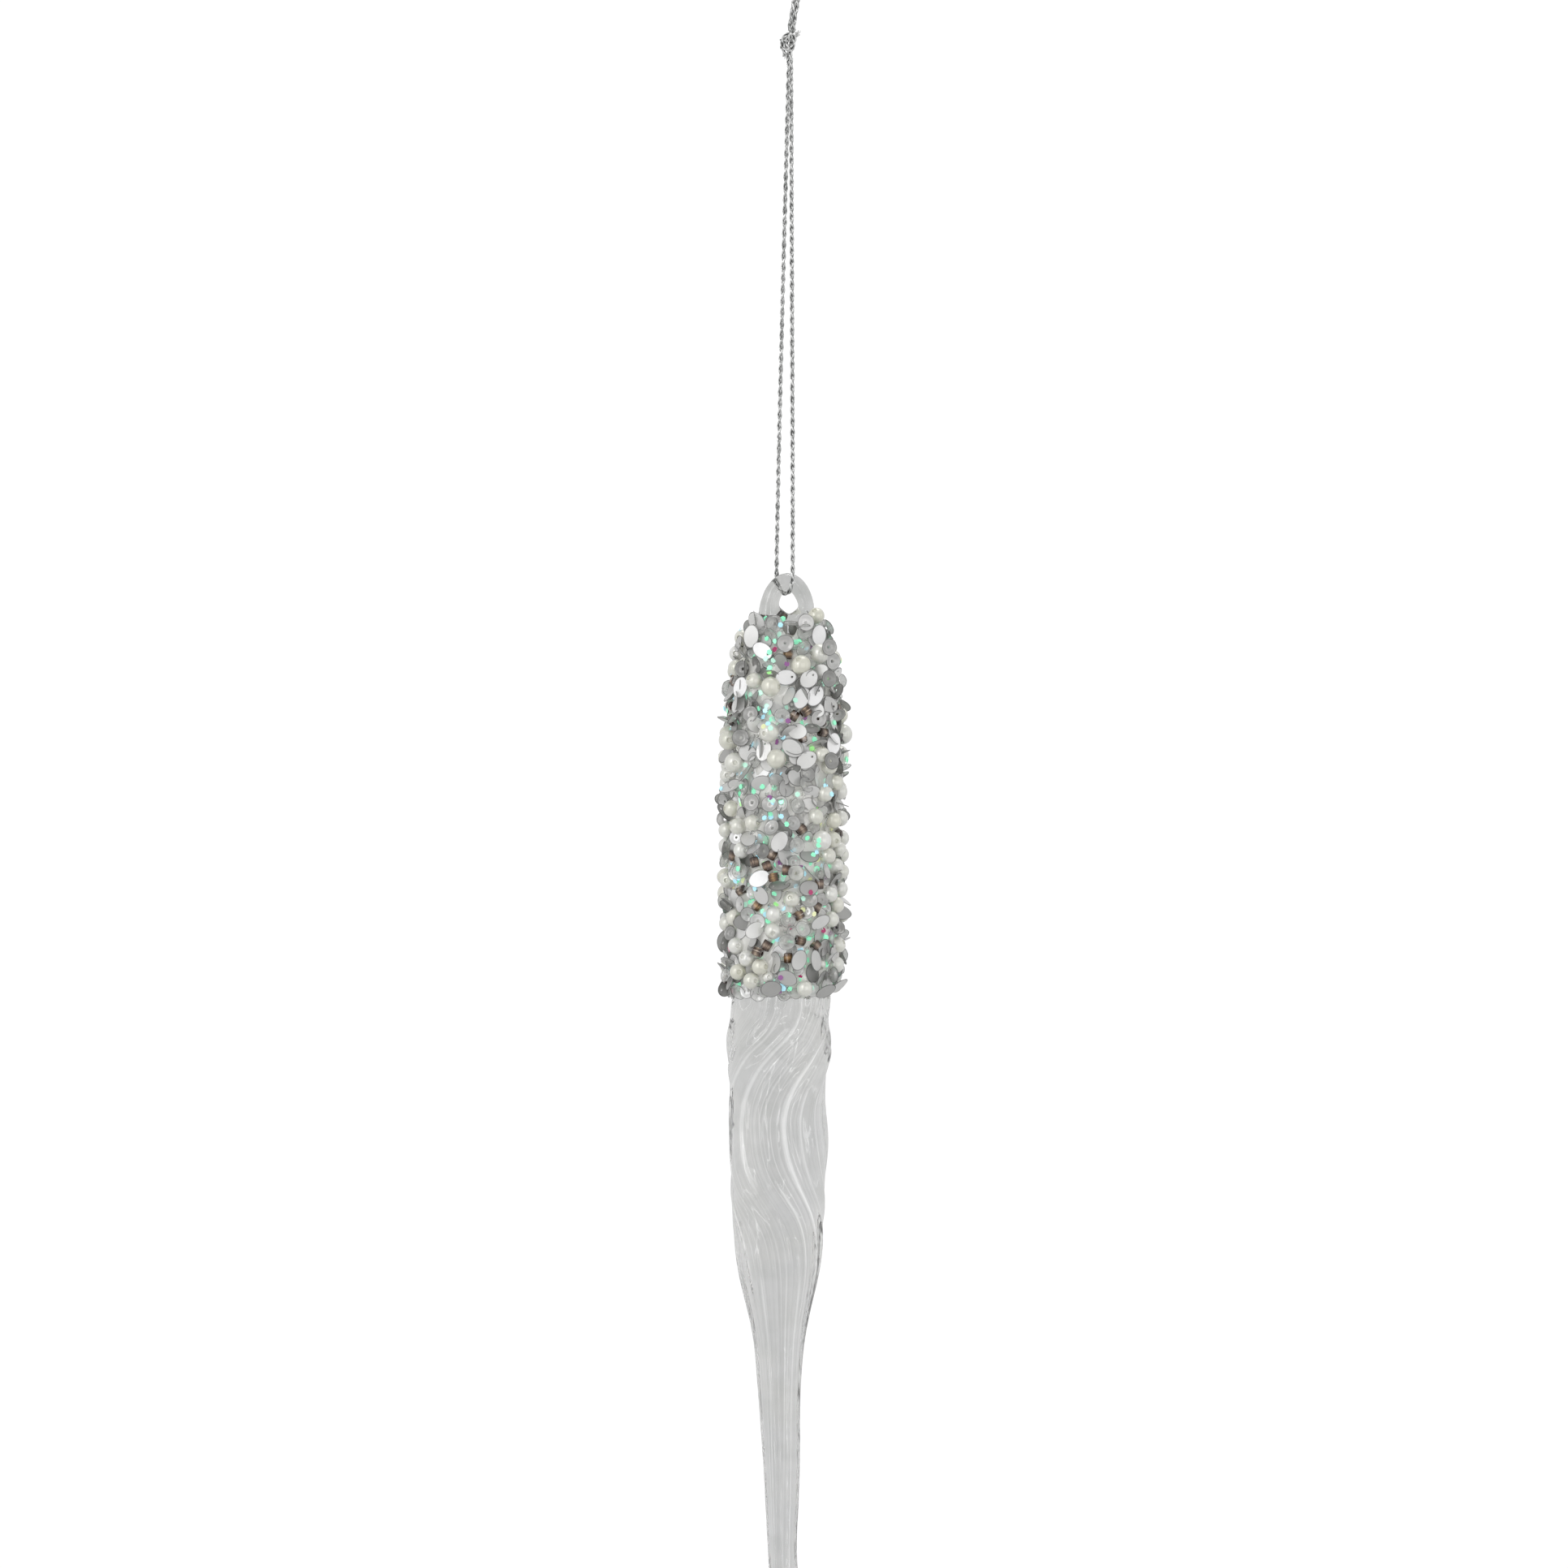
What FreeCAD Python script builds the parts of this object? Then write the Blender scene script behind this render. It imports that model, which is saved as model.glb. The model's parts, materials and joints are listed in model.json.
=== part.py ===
import FreeCAD, Part
import math
import os
import random

import Sketcher
from FreeCAD import Placement, Rotation, Vector

# An icicle hanging ornament: a clear icicle with an eye, beaded over its upper third, on a silver cord.
# Millimetres, +Z up. The origin is where the hook bears on the inside of the hanging loop, so the whole
# ornament hangs below it. The eye's hole runs along Y, and the ornament faces -Y.

doc = FreeCAD.newDocument("icicle_ornament")

# ---------------------------------------------------------------- driving dimensions

DIMENSIONS = {
    # cord
    "cord_diameter": 0.75,
    "loop_half_width": 2.2,
    "loop_height": 9.7,
    "neck_top_z": -10.2,
    "neck_bottom_z": -19.35,
    "strand_gap": 0.42,
    # knot
    "knot_half_height": 2.1,
    "knot_half_width": 1.6,
    "knot_half_depth": 1.35,
    "knot_x": -2.2,
    "knot_z": -22.1,
    "cut_end_length": 1.5,
    # eye of the icicle
    "eye_x": -2.42,
    "eye_top_z": -119.5,
    "eye_ring_radius": 3.55,
    "eye_tube_radius": 1.65,
    "eye_leg_length": 8.0,
    # beads
    "pearl_radius": 1.5,
    "large_pearl_radius": 1.85,
    "pearl_hole_radius": 0.4,
    "cut_bead_radius": 0.86,
    "cut_bead_length": 1.9,
    "cut_bead_hole_radius": 0.4,
    "sequin_radius": 1.55,
    "sequin_floor_radius": 0.75,
    "sequin_hole_radius": 0.35,
    "sequin_depth": 0.45,
    "sequin_sheet": 0.16,
    "paillette_long_radius": 2.1,
    "paillette_short_radius": 1.5,
    "paillette_sheet": 0.2,
    "flake_radius": 0.58,
    "flake_sheet": 0.08,
}

sheet = doc.addObject("Spreadsheet::Sheet", "dims")
for row, (alias, value) in enumerate(DIMENSIONS.items(), start=1):
    sheet.set(f"A{row}", alias.replace("_", " "))
    sheet.set(f"B{row}", str(value))
    sheet.setAlias(f"B{row}", alias)
doc.recompute()


def size(alias):
    """The value of one cell of the sheet, in millimetres."""
    return float(sheet.get(alias))


def bind(thing, **cells):
    """Bind properties of a document object to cells or formulas of the sheet."""
    for name, formula in cells.items():
        thing.setExpression(name, formula)
    return thing


def primitive(kind, name, **cells):
    """A Part primitive whose sizes come from the sheet."""
    return bind(doc.addObject(kind, name), **cells)


def feature(name, shape):
    """A sub-part whose shape is built with Part's own functions."""
    thing = doc.addObject("Part::Feature", name)
    thing.Label = name
    thing.Shape = shape
    return thing


def origin_plane(body, role):
    """One of a body's own origin planes."""
    return next(plane for plane in body.Origin.OriginFeatures if plane.Role == role)


def body_sketch(body, name, role):
    """A sketch on one of a body's own origin planes."""
    sketch = body.newObject("Sketcher::SketchObject", name)
    sketch.AttachmentSupport = [(origin_plane(body, role), "")]
    sketch.MapMode = "FlatFace"
    return sketch


# ---------------------------------------------------------------- cord

def rounded_path(points, report=None):
    """Straight runs joined by tangent arcs, each as large as its two runs allow."""
    edges = []
    start = points[0]
    for before, corner, after in zip(points, points[1:], points[2:]):
        incoming = (corner - before).normalize()
        outgoing = (after - corner).normalize()
        turn = incoming.getAngle(outgoing)
        reach = 0.45 * min((corner - before).Length, (after - corner).Length)
        radius = reach / math.tan(turn / 2)
        arc_start = corner - incoming * reach
        arc_end = corner + outgoing * reach
        inward = (outgoing - incoming).normalize()
        middle = corner + inward * (radius / math.cos(turn / 2) - radius)
        edges.append(Part.LineSegment(start, arc_start).toShape())
        edges.append(Part.Arc(arc_start, middle, arc_end).toShape())
        start = arc_end
        if report:
            print(f"{report}: turn {math.degrees(turn):.0f} degrees, radius {radius:.2f} mm")
    edges.append(Part.LineSegment(start, points[-1]).toShape())
    return Part.Wire(edges)


def cord_tube(points, report):
    """A plain round tube of the cord's own diameter along a route."""
    radius = size("cord_diameter") / 2
    path = rounded_path(points, report)
    section = Part.Wire(Part.Circle(points[0], points[1] - points[0], radius).toShape())
    tube = path.makePipeShell([section], True, False)
    expected = math.pi * radius**2 * path.Length
    print(f"{report}: length {path.Length:.1f} mm, volume {tube.Volume:.2f}, section x length {expected:.2f}")
    return tube


# The loop hangs on the hook. It closes at the neck, where its two strands lie side by side.
half_width = size("loop_half_width")
top_z = size("cord_diameter") / 2
side_by_side = size("strand_gap")
LOOP_ROUTE = [
    Vector(0.1 + side_by_side, 0, -size("loop_height")),
    Vector(0.2 + side_by_side, 0, -8.0),
    Vector(1.75, 0.05, -5.0),
    Vector(half_width, 0.05, -2.6),
    Vector(half_width, 0, -0.9),
    Vector(0.9, 0, top_z),
    Vector(-0.9, 0, top_z),
    Vector(-half_width, 0, -0.9),
    Vector(-half_width, 0.05, -2.9),
    Vector(-1.5, 0.05, -5.4),
    Vector(-side_by_side, 0, -8.1),
    Vector(0.1 - side_by_side, 0, -size("loop_height")),
]
feature("hanging_loop", cord_tube(LOOP_ROUTE, "hanging_loop"))

# Between the loop and the knot the two strands lie against each other, with a slight wind.
NECK_TOP = Vector(0.1, 0, size("neck_top_z"))
NECK_BOTTOM = Vector(-1.5, 0, size("neck_bottom_z"))
neck_strands = []
for side in (1, -1):
    top = NECK_TOP + Vector(side * side_by_side, 0, 0)
    bottom = NECK_BOTTOM + Vector(side * 0.32, side * 0.30, 0)
    axis = bottom - top
    neck_strands.append(Part.makeCylinder(size("cord_diameter") / 2, axis.Length, top, axis))
feature("loop_neck", Part.makeCompound(neck_strands))

# The overhand knot is a plain egg here. It leans the way the doubled cord does.
knot = primitive(
    "Part::Ellipsoid",
    "cord_knot",
    Radius1="dims.knot_half_height",
    Radius2="dims.knot_half_width",
    Radius3="dims.knot_half_depth",
)
knot.Label = "cord_knot"
knot.Placement = Placement(
    Vector(size("knot_x"), 0, size("knot_z")), Rotation(Vector(0, 1, 0), 16)
)

# The two cut ends of the cord stand out of the knot, one up to the right and one down to the left.
CUT_ENDS = {
    "cut_end_upper": (Vector(-1.25, 0.45, -21.0), Vector(0.62, 0.1, 0.78)),
    "cut_end_lower": (Vector(-2.95, -0.25, -22.9), Vector(0.22, -0.15, -0.95)),
}
for name, (root_point, direction) in CUT_ENDS.items():
    end = primitive(
        "Part::Cylinder", name, Radius="dims.cord_diameter / 2", Height="dims.cut_end_length"
    )
    end.Label = name
    end.Placement = Placement(root_point, Rotation(Vector(0, 0, 1), direction))

# One cord runs from the knot down in front of the eye's top, through the hole, and up behind it.
STRANDS_ROUTE = [
    Vector(-1.55, -0.45, -24.75),
    Vector(-1.15, -2.2, -118.4),
    Vector(-1.4, -2.35, -122.6),
    Vector(-2.15, -1.15, -123.6),
    Vector(-3.1, 1.15, -123.6),
    Vector(-3.95, 2.35, -122.6),
    Vector(-4.45, 2.2, -118.4),
    Vector(-1.95, 0.45, -24.75),
]
feature("hanging_cord", cord_tube(STRANDS_ROUTE, "hanging_cord"))

# ---------------------------------------------------------------- icicle

# The icicle's outline: distance below the origin, radius, and sideways place of the middle.
CORE_STATIONS = [
    (127.8, 3.7, -2.42),
    (129.6, 5.1, -2.45),
    (132.4, 6.4, -2.55),
    (136.5, 7.5, -2.7),
    (142.0, 8.3, -2.85),
    (150.0, 8.7, -2.9),
    (170.0, 8.8, -2.95),
    (190.0, 8.85, -3.15),
    (198.0, 8.95, -3.3),
]
SHANK_STATIONS = [
    (203.0, 9.1, -3.8),
    (208.5, 9.5, -3.92),
    (215.0, 9.05, -3.92),
    (221.0, 8.95, -3.75),
    (227.5, 9.15, -3.6),
    (234.5, 8.85, -3.95),
    (243.0, 8.05, -4.0),
    (251.0, 6.95, -3.9),
    (257.5, 5.45, -3.82),
    (264.0, 4.42, -3.8),
    (271.0, 3.9, -3.75),
    (281.0, 3.48, -3.45),
    (292.0, 3.0, -3.25),
    (304.0, 2.62, -3.0),
    (320.0, 2.15, -2.75),
    (337.0, 1.6, -2.6),
    (350.0, 1.1, -2.55),
]
TIP_STATION = SHANK_STATIONS[-1]
FLUTES = 6
POINTS_PER_FLUTE = 4
FLUTE_DEPTH = 0.035
SHANK_TOP = (196.4, 8.8, -3.25)
# The flutes wind one way in the upper shank and back again below it: depth below the origin and angle.
FLUTE_ANGLES = [(198.0, 0.0), (204.0, 6.0), (216.0, -42.0), (222.0, -48.0), (244.0, -8.0), (252.0, -4.0)]


def between(pairs, place):
    """Straight-line value at a place along pairs of (place, value)."""
    if place <= pairs[0][0]:
        return pairs[0][1]
    for (low, low_value), (high, high_value) in zip(pairs, pairs[1:]):
        if place <= high:
            return low_value + (high_value - low_value) * (place - low) / (high - low)
    return pairs[-1][1]


def fluted_section(depth, radius, middle_x):
    """One closed cross-section of the shank: round at its top and tip, softly fluted between."""
    fade = min(max((depth - 196.0) / 12.0, 0.0), 1.0) * min(max((350.0 - depth) / 60.0, 0.0), 1.0)
    angle = math.radians(between(FLUTE_ANGLES, depth))
    points = []
    count = POINTS_PER_FLUTE * FLUTES
    for index in range(count):
        turn = 2 * math.pi * index / count
        flute = math.cos(FLUTES * (turn - angle)) + 0.4 * math.cos(3 * (turn - angle) + 1.0)
        reach = radius * (1 + FLUTE_DEPTH * fade * (flute - 0.6))
        points.append(Vector(middle_x + reach * math.cos(turn), reach * math.sin(turn), -depth))
    curve = Part.BSplineCurve()
    curve.interpolate(Points=points, PeriodicFlag=True)
    return Part.Wire(curve.toShape())


def round_section(depth, radius, middle_x):
    """One round cross-section."""
    circle = Part.Circle(Vector(middle_x, 0, -depth), Vector(0, 0, 1), radius)
    return Part.Wire(circle.toShape())


core = feature("core", Part.makeLoft([round_section(*station) for station in CORE_STATIONS], True, False))
shank = feature(
    "shank",
    Part.makeLoft([fluted_section(*station) for station in [SHANK_TOP, *SHANK_STATIONS]], True, False),
)
tip = feature("tip", Part.makeSphere(TIP_STATION[1], Vector(TIP_STATION[2], 0, -TIP_STATION[0])))

# The eye is a bar of round section bent into an arch, whose legs run down into the shank.
eye = doc.addObject("PartDesign::Body", "eye")
arch = body_sketch(eye, "arch", "XZ_Plane")
eye_middle_z = size("eye_top_z") - size("eye_ring_radius") - size("eye_tube_radius")
ring = size("eye_ring_radius")
leg = size("eye_leg_length")
middle = Vector(size("eye_x"), eye_middle_z, 0)
arch.addGeometry(Part.LineSegment(middle + Vector(-ring, -leg, 0), middle + Vector(-ring, 0, 0)))
arch.addGeometry(Part.ArcOfCircle(Part.Circle(middle, Vector(0, 0, 1), ring), 0, math.pi))
arch.addGeometry(Part.LineSegment(middle + Vector(ring, 0, 0), middle + Vector(ring, -leg, 0)))
START, END, CENTRE = 1, 2, 3
arch.addConstraint(Sketcher.Constraint("Tangent", 0, END, 1, END))
arch.addConstraint(Sketcher.Constraint("Tangent", 1, START, 2, START))
arch.addConstraint(Sketcher.Constraint("Vertical", 0))
arch_radius = arch.addConstraint(Sketcher.Constraint("Radius", 1, ring))
arch.setExpression(f"Constraints[{arch_radius}]", "dims.eye_ring_radius")
arch_leg = arch.addConstraint(Sketcher.Constraint("DistanceY", 0, START, 0, END, leg))
arch.setExpression(f"Constraints[{arch_leg}]", "dims.eye_leg_length")
doc.recompute()
bar = body_sketch(eye, "bar", "XY_Plane")
bar.AttachmentOffset = Placement(Vector(0, 0, eye_middle_z - leg), Rotation())
bar.addGeometry(Part.Circle(Vector(size("eye_x") - ring, 0, 0), Vector(0, 0, 1), size("eye_tube_radius")))
bar_radius = bar.addConstraint(Sketcher.Constraint("Radius", 0, size("eye_tube_radius")))
bar.setExpression(f"Constraints[{bar_radius}]", "dims.eye_tube_radius")
doc.recompute()
pipe = eye.newObject("PartDesign::AdditivePipe", "eye_bar")
pipe.Profile = (bar, [""])
pipe.Spine = (arch, ["Edge1", "Edge2", "Edge3"])
doc.recompute()

icicle = doc.addObject("Part::MultiFuse", "icicle")
icicle.Shapes = [core, shank, eye, tip]
icicle.Label = "icicle"
doc.recompute()

# ---------------------------------------------------------------- glue coat

# Outside of the hardened glue that holds the beads.
GLUE_STATIONS = [
    (128.6, 5.4, -2.45),
    (130.4, 6.6, -2.5),
    (133.4, 7.6, -2.6),
    (137.5, 8.6, -2.75),
    (143.0, 9.3, -2.85),
    (151.0, 9.65, -2.9),
    (170.0, 9.75, -2.95),
    (188.0, 9.7, -3.1),
    (197.6, 9.4, -3.2),
]
glue_outside = feature(
    "glue_outside", Part.makeLoft([round_section(*station) for station in GLUE_STATIONS], True, False)
)
glue_coat = doc.addObject("Part::Cut", "glue_coat")
glue_coat.Base = glue_outside
glue_coat.Tool = icicle
glue_coat.Label = "glue_coat"
doc.recompute()

# ---------------------------------------------------------------- bead shapes

def centred(thing, **offsets):
    """Move a pattern shape so that its middle is at the origin."""
    for name, formula in offsets.items():
        thing.setExpression(f"Placement.Base.{name}", formula)
    return thing


def drilled(name, blank, hole):
    """A bead blank with its thread hole."""
    cut = doc.addObject("Part::Cut", name)
    cut.Base = blank
    cut.Tool = hole
    return cut


def pearl(name, radius_cell):
    """A round bead with a thread hole along its own Z."""
    blank = primitive("Part::Sphere", f"{name}_blank", Radius=f"dims.{radius_cell}")
    hole = primitive(
        "Part::Cylinder",
        f"{name}_hole",
        Radius="dims.pearl_hole_radius",
        Height=f"2.2 * dims.{radius_cell}",
    )
    centred(hole, z=f"-1.1 * dims.{radius_cell}")
    return drilled(name, blank, hole)


def cut_bead():
    """A short six-sided tube with its axis along Z."""
    blank = primitive(
        "Part::Prism",
        "cut_bead_blank",
        Circumradius="dims.cut_bead_radius",
        Height="dims.cut_bead_length",
    )
    blank.Polygon = 6
    centred(blank, z="-dims.cut_bead_length / 2")
    hole = primitive(
        "Part::Cylinder",
        "cut_bead_hole",
        Radius="dims.cut_bead_hole_radius",
        Height="1.2 * dims.cut_bead_length",
    )
    centred(hole, z="-0.6 * dims.cut_bead_length")
    return drilled("cut_bead", blank, hole)


def cup_sequin():
    """A thin stamped cup: flat floor with a hole, and a sloping rim."""
    body = doc.addObject("PartDesign::Body", "cup_sequin")
    profile = body_sketch(body, "cup_profile", "XZ_Plane")
    rim = size("sequin_radius")
    floor = size("sequin_floor_radius")
    hole = size("sequin_hole_radius")
    depth = size("sequin_depth")
    thick = size("sequin_sheet")
    outline = [
        (hole, 0),
        (floor, 0),
        (rim, depth),
        (rim - 0.5 * thick, depth + thick),
        (floor - 0.3 * thick, thick),
        (hole, thick),
    ]
    corners = [Vector(across, up, 0) for across, up in outline]
    for first, second in zip(corners, corners[1:] + corners[:1]):
        profile.addGeometry(Part.LineSegment(first, second))
    last = len(corners) - 1
    for index in range(len(corners)):
        profile.addConstraint(Sketcher.Constraint("Coincident", index, END, (index + 1) % (last + 1), START))
    doc.recompute()
    turned = body.newObject("PartDesign::Revolution", "cup")
    turned.Profile = profile
    turned.ReferenceAxis = (profile, ["V_Axis"])
    turned.Angle = 360
    return body


def paillette():
    """A flat oval mirror with its face along Z and its long way along X."""
    body = doc.addObject("PartDesign::Body", "paillette")
    oval = body_sketch(body, "oval", "XY_Plane")
    long_radius = size("paillette_long_radius")
    short_radius = size("paillette_short_radius")
    oval.addGeometry(Part.Ellipse(Vector(0, 0, 0), long_radius, short_radius))
    pad = body.newObject("PartDesign::Pad", "paillette_pad")
    pad.Profile = oval
    pad.setExpression("Length", "dims.paillette_sheet")
    pad.Midplane = True
    return body


def flake():
    """A small thin hexagon with its face along Z."""
    blank = primitive("Part::Prism", "flake", Circumradius="dims.flake_radius", Height="dims.flake_sheet")
    blank.Polygon = 6
    return centred(blank, z="-dims.flake_sheet / 2")


# ---------------------------------------------------------------- laying the beads

def ring_of_balls(count, reach_x, reach_y, ball):
    """Balls round an oval, as (place, radius)."""
    turns = [2 * math.pi * index / count for index in range(count)]
    return [(Vector(reach_x * math.cos(turn), reach_y * math.sin(turn), 0), ball) for turn in turns]


def bead_kinds():
    """Each kind of bead: its shape, the balls that stand for it in clearance tests, and how it lies."""
    pearl_radius = size("pearl_radius")
    large_radius = size("large_pearl_radius")
    bead_half = size("cut_bead_length") / 2
    sequin = size("sequin_radius")
    long_radius = size("paillette_long_radius")
    short_radius = size("paillette_short_radius")
    flake_radius = size("flake_radius")
    origin = Vector(0, 0, 0)
    return {
        "large_pearls": {
            "shape": pearl("large_pearl", "large_pearl_radius"),
            "balls": [(origin, large_radius)],
            "bite": (0.45, 0.7),
            "tilt": (0, 180),
            "count": 20,
        },
        "pearls": {
            "shape": pearl("pearl", "pearl_radius"),
            "balls": [(origin, pearl_radius)],
            "bite": (0.4, 0.75),
            "tilt": (0, 180),
            "count": 112,
        },
        "cup_sequins": {
            "shape": cup_sequin(),
            "balls": ring_of_balls(10, 0.8 * sequin, 0.8 * sequin, 0.5)
            + ring_of_balls(4, 0.4 * sequin, 0.4 * sequin, 0.35),
            "bite": (0.3, 0.75),
            "tilt": (5, 70),
            "count": 112,
        },
        "paillettes": {
            "shape": paillette(),
            "balls": ring_of_balls(10, 0.8 * long_radius, 0.75 * short_radius, 0.46)
            + ring_of_balls(4, 0.35 * long_radius, 0.35 * short_radius, 0.35),
            "bite": (0.3, 0.75),
            "tilt": (8, 65),
            "count": 116,
        },
        "cut_beads": {
            "shape": cut_bead(),
            "balls": [(Vector(0, 0, step * bead_half), 0.9) for step in (-0.45, 0, 0.45)],
            "bite": (0.3, 0.8),
            "tilt": (45, 135),
            "count": 72,
            "furthest_front": 3.5,
        },
        "flakes": {
            "shape": flake(),
            "balls": ring_of_balls(6, 0.6 * flake_radius, 0.6 * flake_radius, 0.24) + [(origin, 0.24)],
            "bite": (0.2, 0.35),
            "tilt": (0, 40),
            "count": 300,
        },
    }


# The beads that face the viewer: sideways place, depth below the origin, how far the bead's own Z leans out
# of the surface, which way it leans (0 right, 90 up) and, for a paillette, which way its long side lies.
FRONT_BEADS = {
    "large_pearls": [
        (3.4, 134.8, 70), (0.1, 136.9, 50, 130), (-5.2, 140.9, 80), (-5.5, 149.3, 20, 200),
        (-12.7, 150.7, 70), (-4.2, 154.2, 80), (-11.7, 154.9, 60), (8.7, 149.6, 60, 0),
        (3.9, 169.2, 80),
    ],
    "pearls": [
        (-10.6, 131.8, 60), (-11.7, 134.2, 70), (8.1, 146.6, 60), (-13.2, 157.2, 70), (4.7, 160.6, 70),
        (7.4, 160.2, 60), (3.0, 164.8, 60), (7.5, 165.1, 50, 20), (-11.4, 166.6, 20, 190),
        (-8.6, 165.9, 80), (7.8, 168.8, 70), (8.1, 171.6, 60), (5.2, 172.0, 70), (-10.7, 171.0, 80),
        (-0.6, 175.2, 8, 200), (-7.3, 176.0, 80), (-13.2, 176.6, 60), (5.6, 179.1, 70),
        (-1.5, 180.0, 25, 140), (5.8, 183.7, 60, 60), (-4.7, 182.7, 70), (-4.9, 185.6, 20, 300),
        (-12.0, 183.4, 80), (-11.7, 188.6, 70), (-9.7, 190.9, 18, 90), (-7.2, 192.4, 70),
        (-11.2, 193.4, 60), (-8.8, 195.0, 70), (0.9, 196.4, 60),
    ],
    "cut_beads": [
        (-2.1, 134.9, 90, 85), (-13.4, 144.8, 90, 90), (-12.8, 147.0, 90, 110), (-0.9, 146.3, 90, 60),
        (0.9, 145.5, 90, 35), (4.2, 147.4, 90, 0), (4.7, 149.3, 90, 175), (0.7, 150.2, 90, 110),
        (8.4, 159.2, 90, 60), (4.0, 162.6, 90, 75), (0.5, 167.2, 90, 35), (-12.7, 172.0, 90, 70),
        (-5.1, 171.8, 90, 60), (-8.5, 173.2, 90, 105), (-5.8, 173.7, 90, 115), (-4.6, 175.4, 90, 10),
        (-2.5, 174.6, 90, 85), (-11.1, 178.4, 90, 20), (4.0, 177.2, 90, 90), (-8.0, 181.1, 90, 50),
        (3.5, 181.6, 90, 60), (0.0, 182.9, 90, 30), (0.3, 187.6, 90, 165), (-6.2, 188.0, 90, 60),
        (-7.3, 189.7, 90, 160), (3.3, 188.6, 90, 40), (-2.0, 190.8, 90, 90),
    ],
    "paillettes": [
        (3.8, 131.6, 12, 0, 80), (-8.7, 131.4, 50, 180, 90), (-7.0, 134.3, 14, 200, 150),
        (-2.5, 139.0, 10, 100, 0), (1.8, 139.5, 16, 300, 100), (-11.1, 140.9, 40, 180, 90),
        (0.3, 142.9, 44, 200, 80), (2.9, 142.5, 44, 200, 60), (-11.3, 143.2, 24, 180, 45),
        (5.3, 144.0, 24, 0, 20), (7.9, 143.3, 70, 0, 90), (-1.2, 151.4, 26, 90, 150),
        (6.4, 151.2, 16, 0, 90), (-7.7, 152.4, 44, 180, 80), (1.3, 154.5, 8, 30, 90),
        (-7.4, 156.5, 8, 90, 30), (-2.3, 159.4, 22, 30, 60), (3.4, 157.4, 40, 0, 90),
        (-8.8, 162.0, 20, 150, 0), (7.7, 162.5, 72, 90, 0), (-13.5, 169.2, 60, 200, 20),
        (-3.5, 169.0, 12, 180, 70), (2.1, 172.0, 30, 90, 0), (1.6, 177.7, 8, 0, 0),
        (-3.7, 177.4, 50, 90, 15), (-6.8, 179.0, 14, 200, 130), (3.6, 184.0, 30, 270, 20),
        (-9.4, 186.9, 8, 180, 90), (-14.0, 187.8, 75, 180, 100), (-0.2, 191.2, 8, 20, 60),
        (2.7, 190.8, 20, 0, 110), (-4.6, 191.7, 36, 180, 80), (-2.3, 194.0, 20, 250, 150),
        (1.3, 194.2, 35, 300, 20), (-5.2, 196.0, 16, 270, 10), (-7.8, 197.0, 60, 270, 20),
    ],
    "cup_sequins": [
        (-10.3, 127.9, 65, 180), (-5.1, 129.2, 10, 200), (0.7, 130.2, 15, 270), (-2.7, 132.6, 10, 90),
        (0.6, 133.7, 30, 300), (5.4, 133.0, 40, 0), (5.8, 136.4, 24, 0), (-9.6, 137.4, 50, 180),
        (5.0, 139.4, 26, 0), (7.8, 139.8, 75, 0), (-13.4, 141.1, 55, 180), (-8.0, 144.6, 26, 210),
        (-3.2, 146.4, 12, 60), (-9.9, 147.4, 34, 250), (6.9, 155.6, 50, 20), (-10.2, 159.6, 20, 160),
        (-13.5, 161.2, 50, 180), (-5.6, 162.6, 14, 80), (-0.4, 162.9, 20, 30), (-13.6, 165.3, 70, 180),
        (-0.6, 170.6, 10, 20), (4.2, 175.0, 30, 30), (-10.7, 181.2, 14, 180), (-14.2, 180.4, 50, 180),
        (0.4, 185.3, 20, 60), (-2.4, 187.4, 24, 270), (5.8, 187.4, 40, 0), (7.6, 190.4, 60, 0),
        (5.6, 194.0, 66, 0),
    ],
}
FRONT_SEAT = 0.9
FRONT_BITES = [0.6, 0.4, 0.2, 0.0, -0.2, -0.4, -0.7, -1.0, -1.3]
FRONT_NUDGES = [0.0, 0.25, -0.25, 0.5, -0.5]

BAND_EDGES = [126.0, 137.0, 146.0, 154.5, 163.0, 171.5, 180.0, 189.0, 200.0]
SCATTER_TOP = 127.6
SCATTER_BOTTOM = 197.2
SCATTER_SEED = 24
CELL = 4.0
CLEARANCE = 0.03
CORE_CLEARANCE = 0.1
MOST_TRIES = 500
TALLEST = 3.25


class Crowd:
    """Remembers the balls of every bead placed so far, in coarse cells, to keep beads apart."""

    def __init__(self):
        self.cells = {}

    def key(self, point):
        return (int(point.x // CELL), int(point.y // CELL), int(point.z // CELL))

    def touches(self, balls):
        for point, radius in balls:
            across, along, up = self.key(point)
            for cell in (
                (across + i, along + j, up + k) for i in (-1, 0, 1) for j in (-1, 0, 1) for k in (-1, 0, 1)
            ):
                for other, other_radius in self.cells.get(cell, ()):
                    if point.distanceToPoint(other) < radius + other_radius + CLEARANCE:
                        return True
        return False

    def add(self, balls):
        for point, radius in balls:
            self.cells.setdefault(self.key(point), []).append((point, radius))


def station_values(stations, depth):
    """Radius and middle of an outline at a depth."""
    radius = between([(station[0], station[1]) for station in stations], depth)
    middle_x = between([(station[0], station[2]) for station in stations], depth)
    return radius, middle_x


EYE_LEGS = [size("eye_x") - ring, size("eye_x") + ring]
EYE_KEEP = size("eye_tube_radius") + 0.2
EYE_HOLE_BOTTOM = 127.9
NOTCH_X = -1.6
NOTCH_HALF_WIDTH = 0.8
NOTCH_BOTTOM = 131.4
BOTTOM_OVERHANG = 1.4


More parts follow.
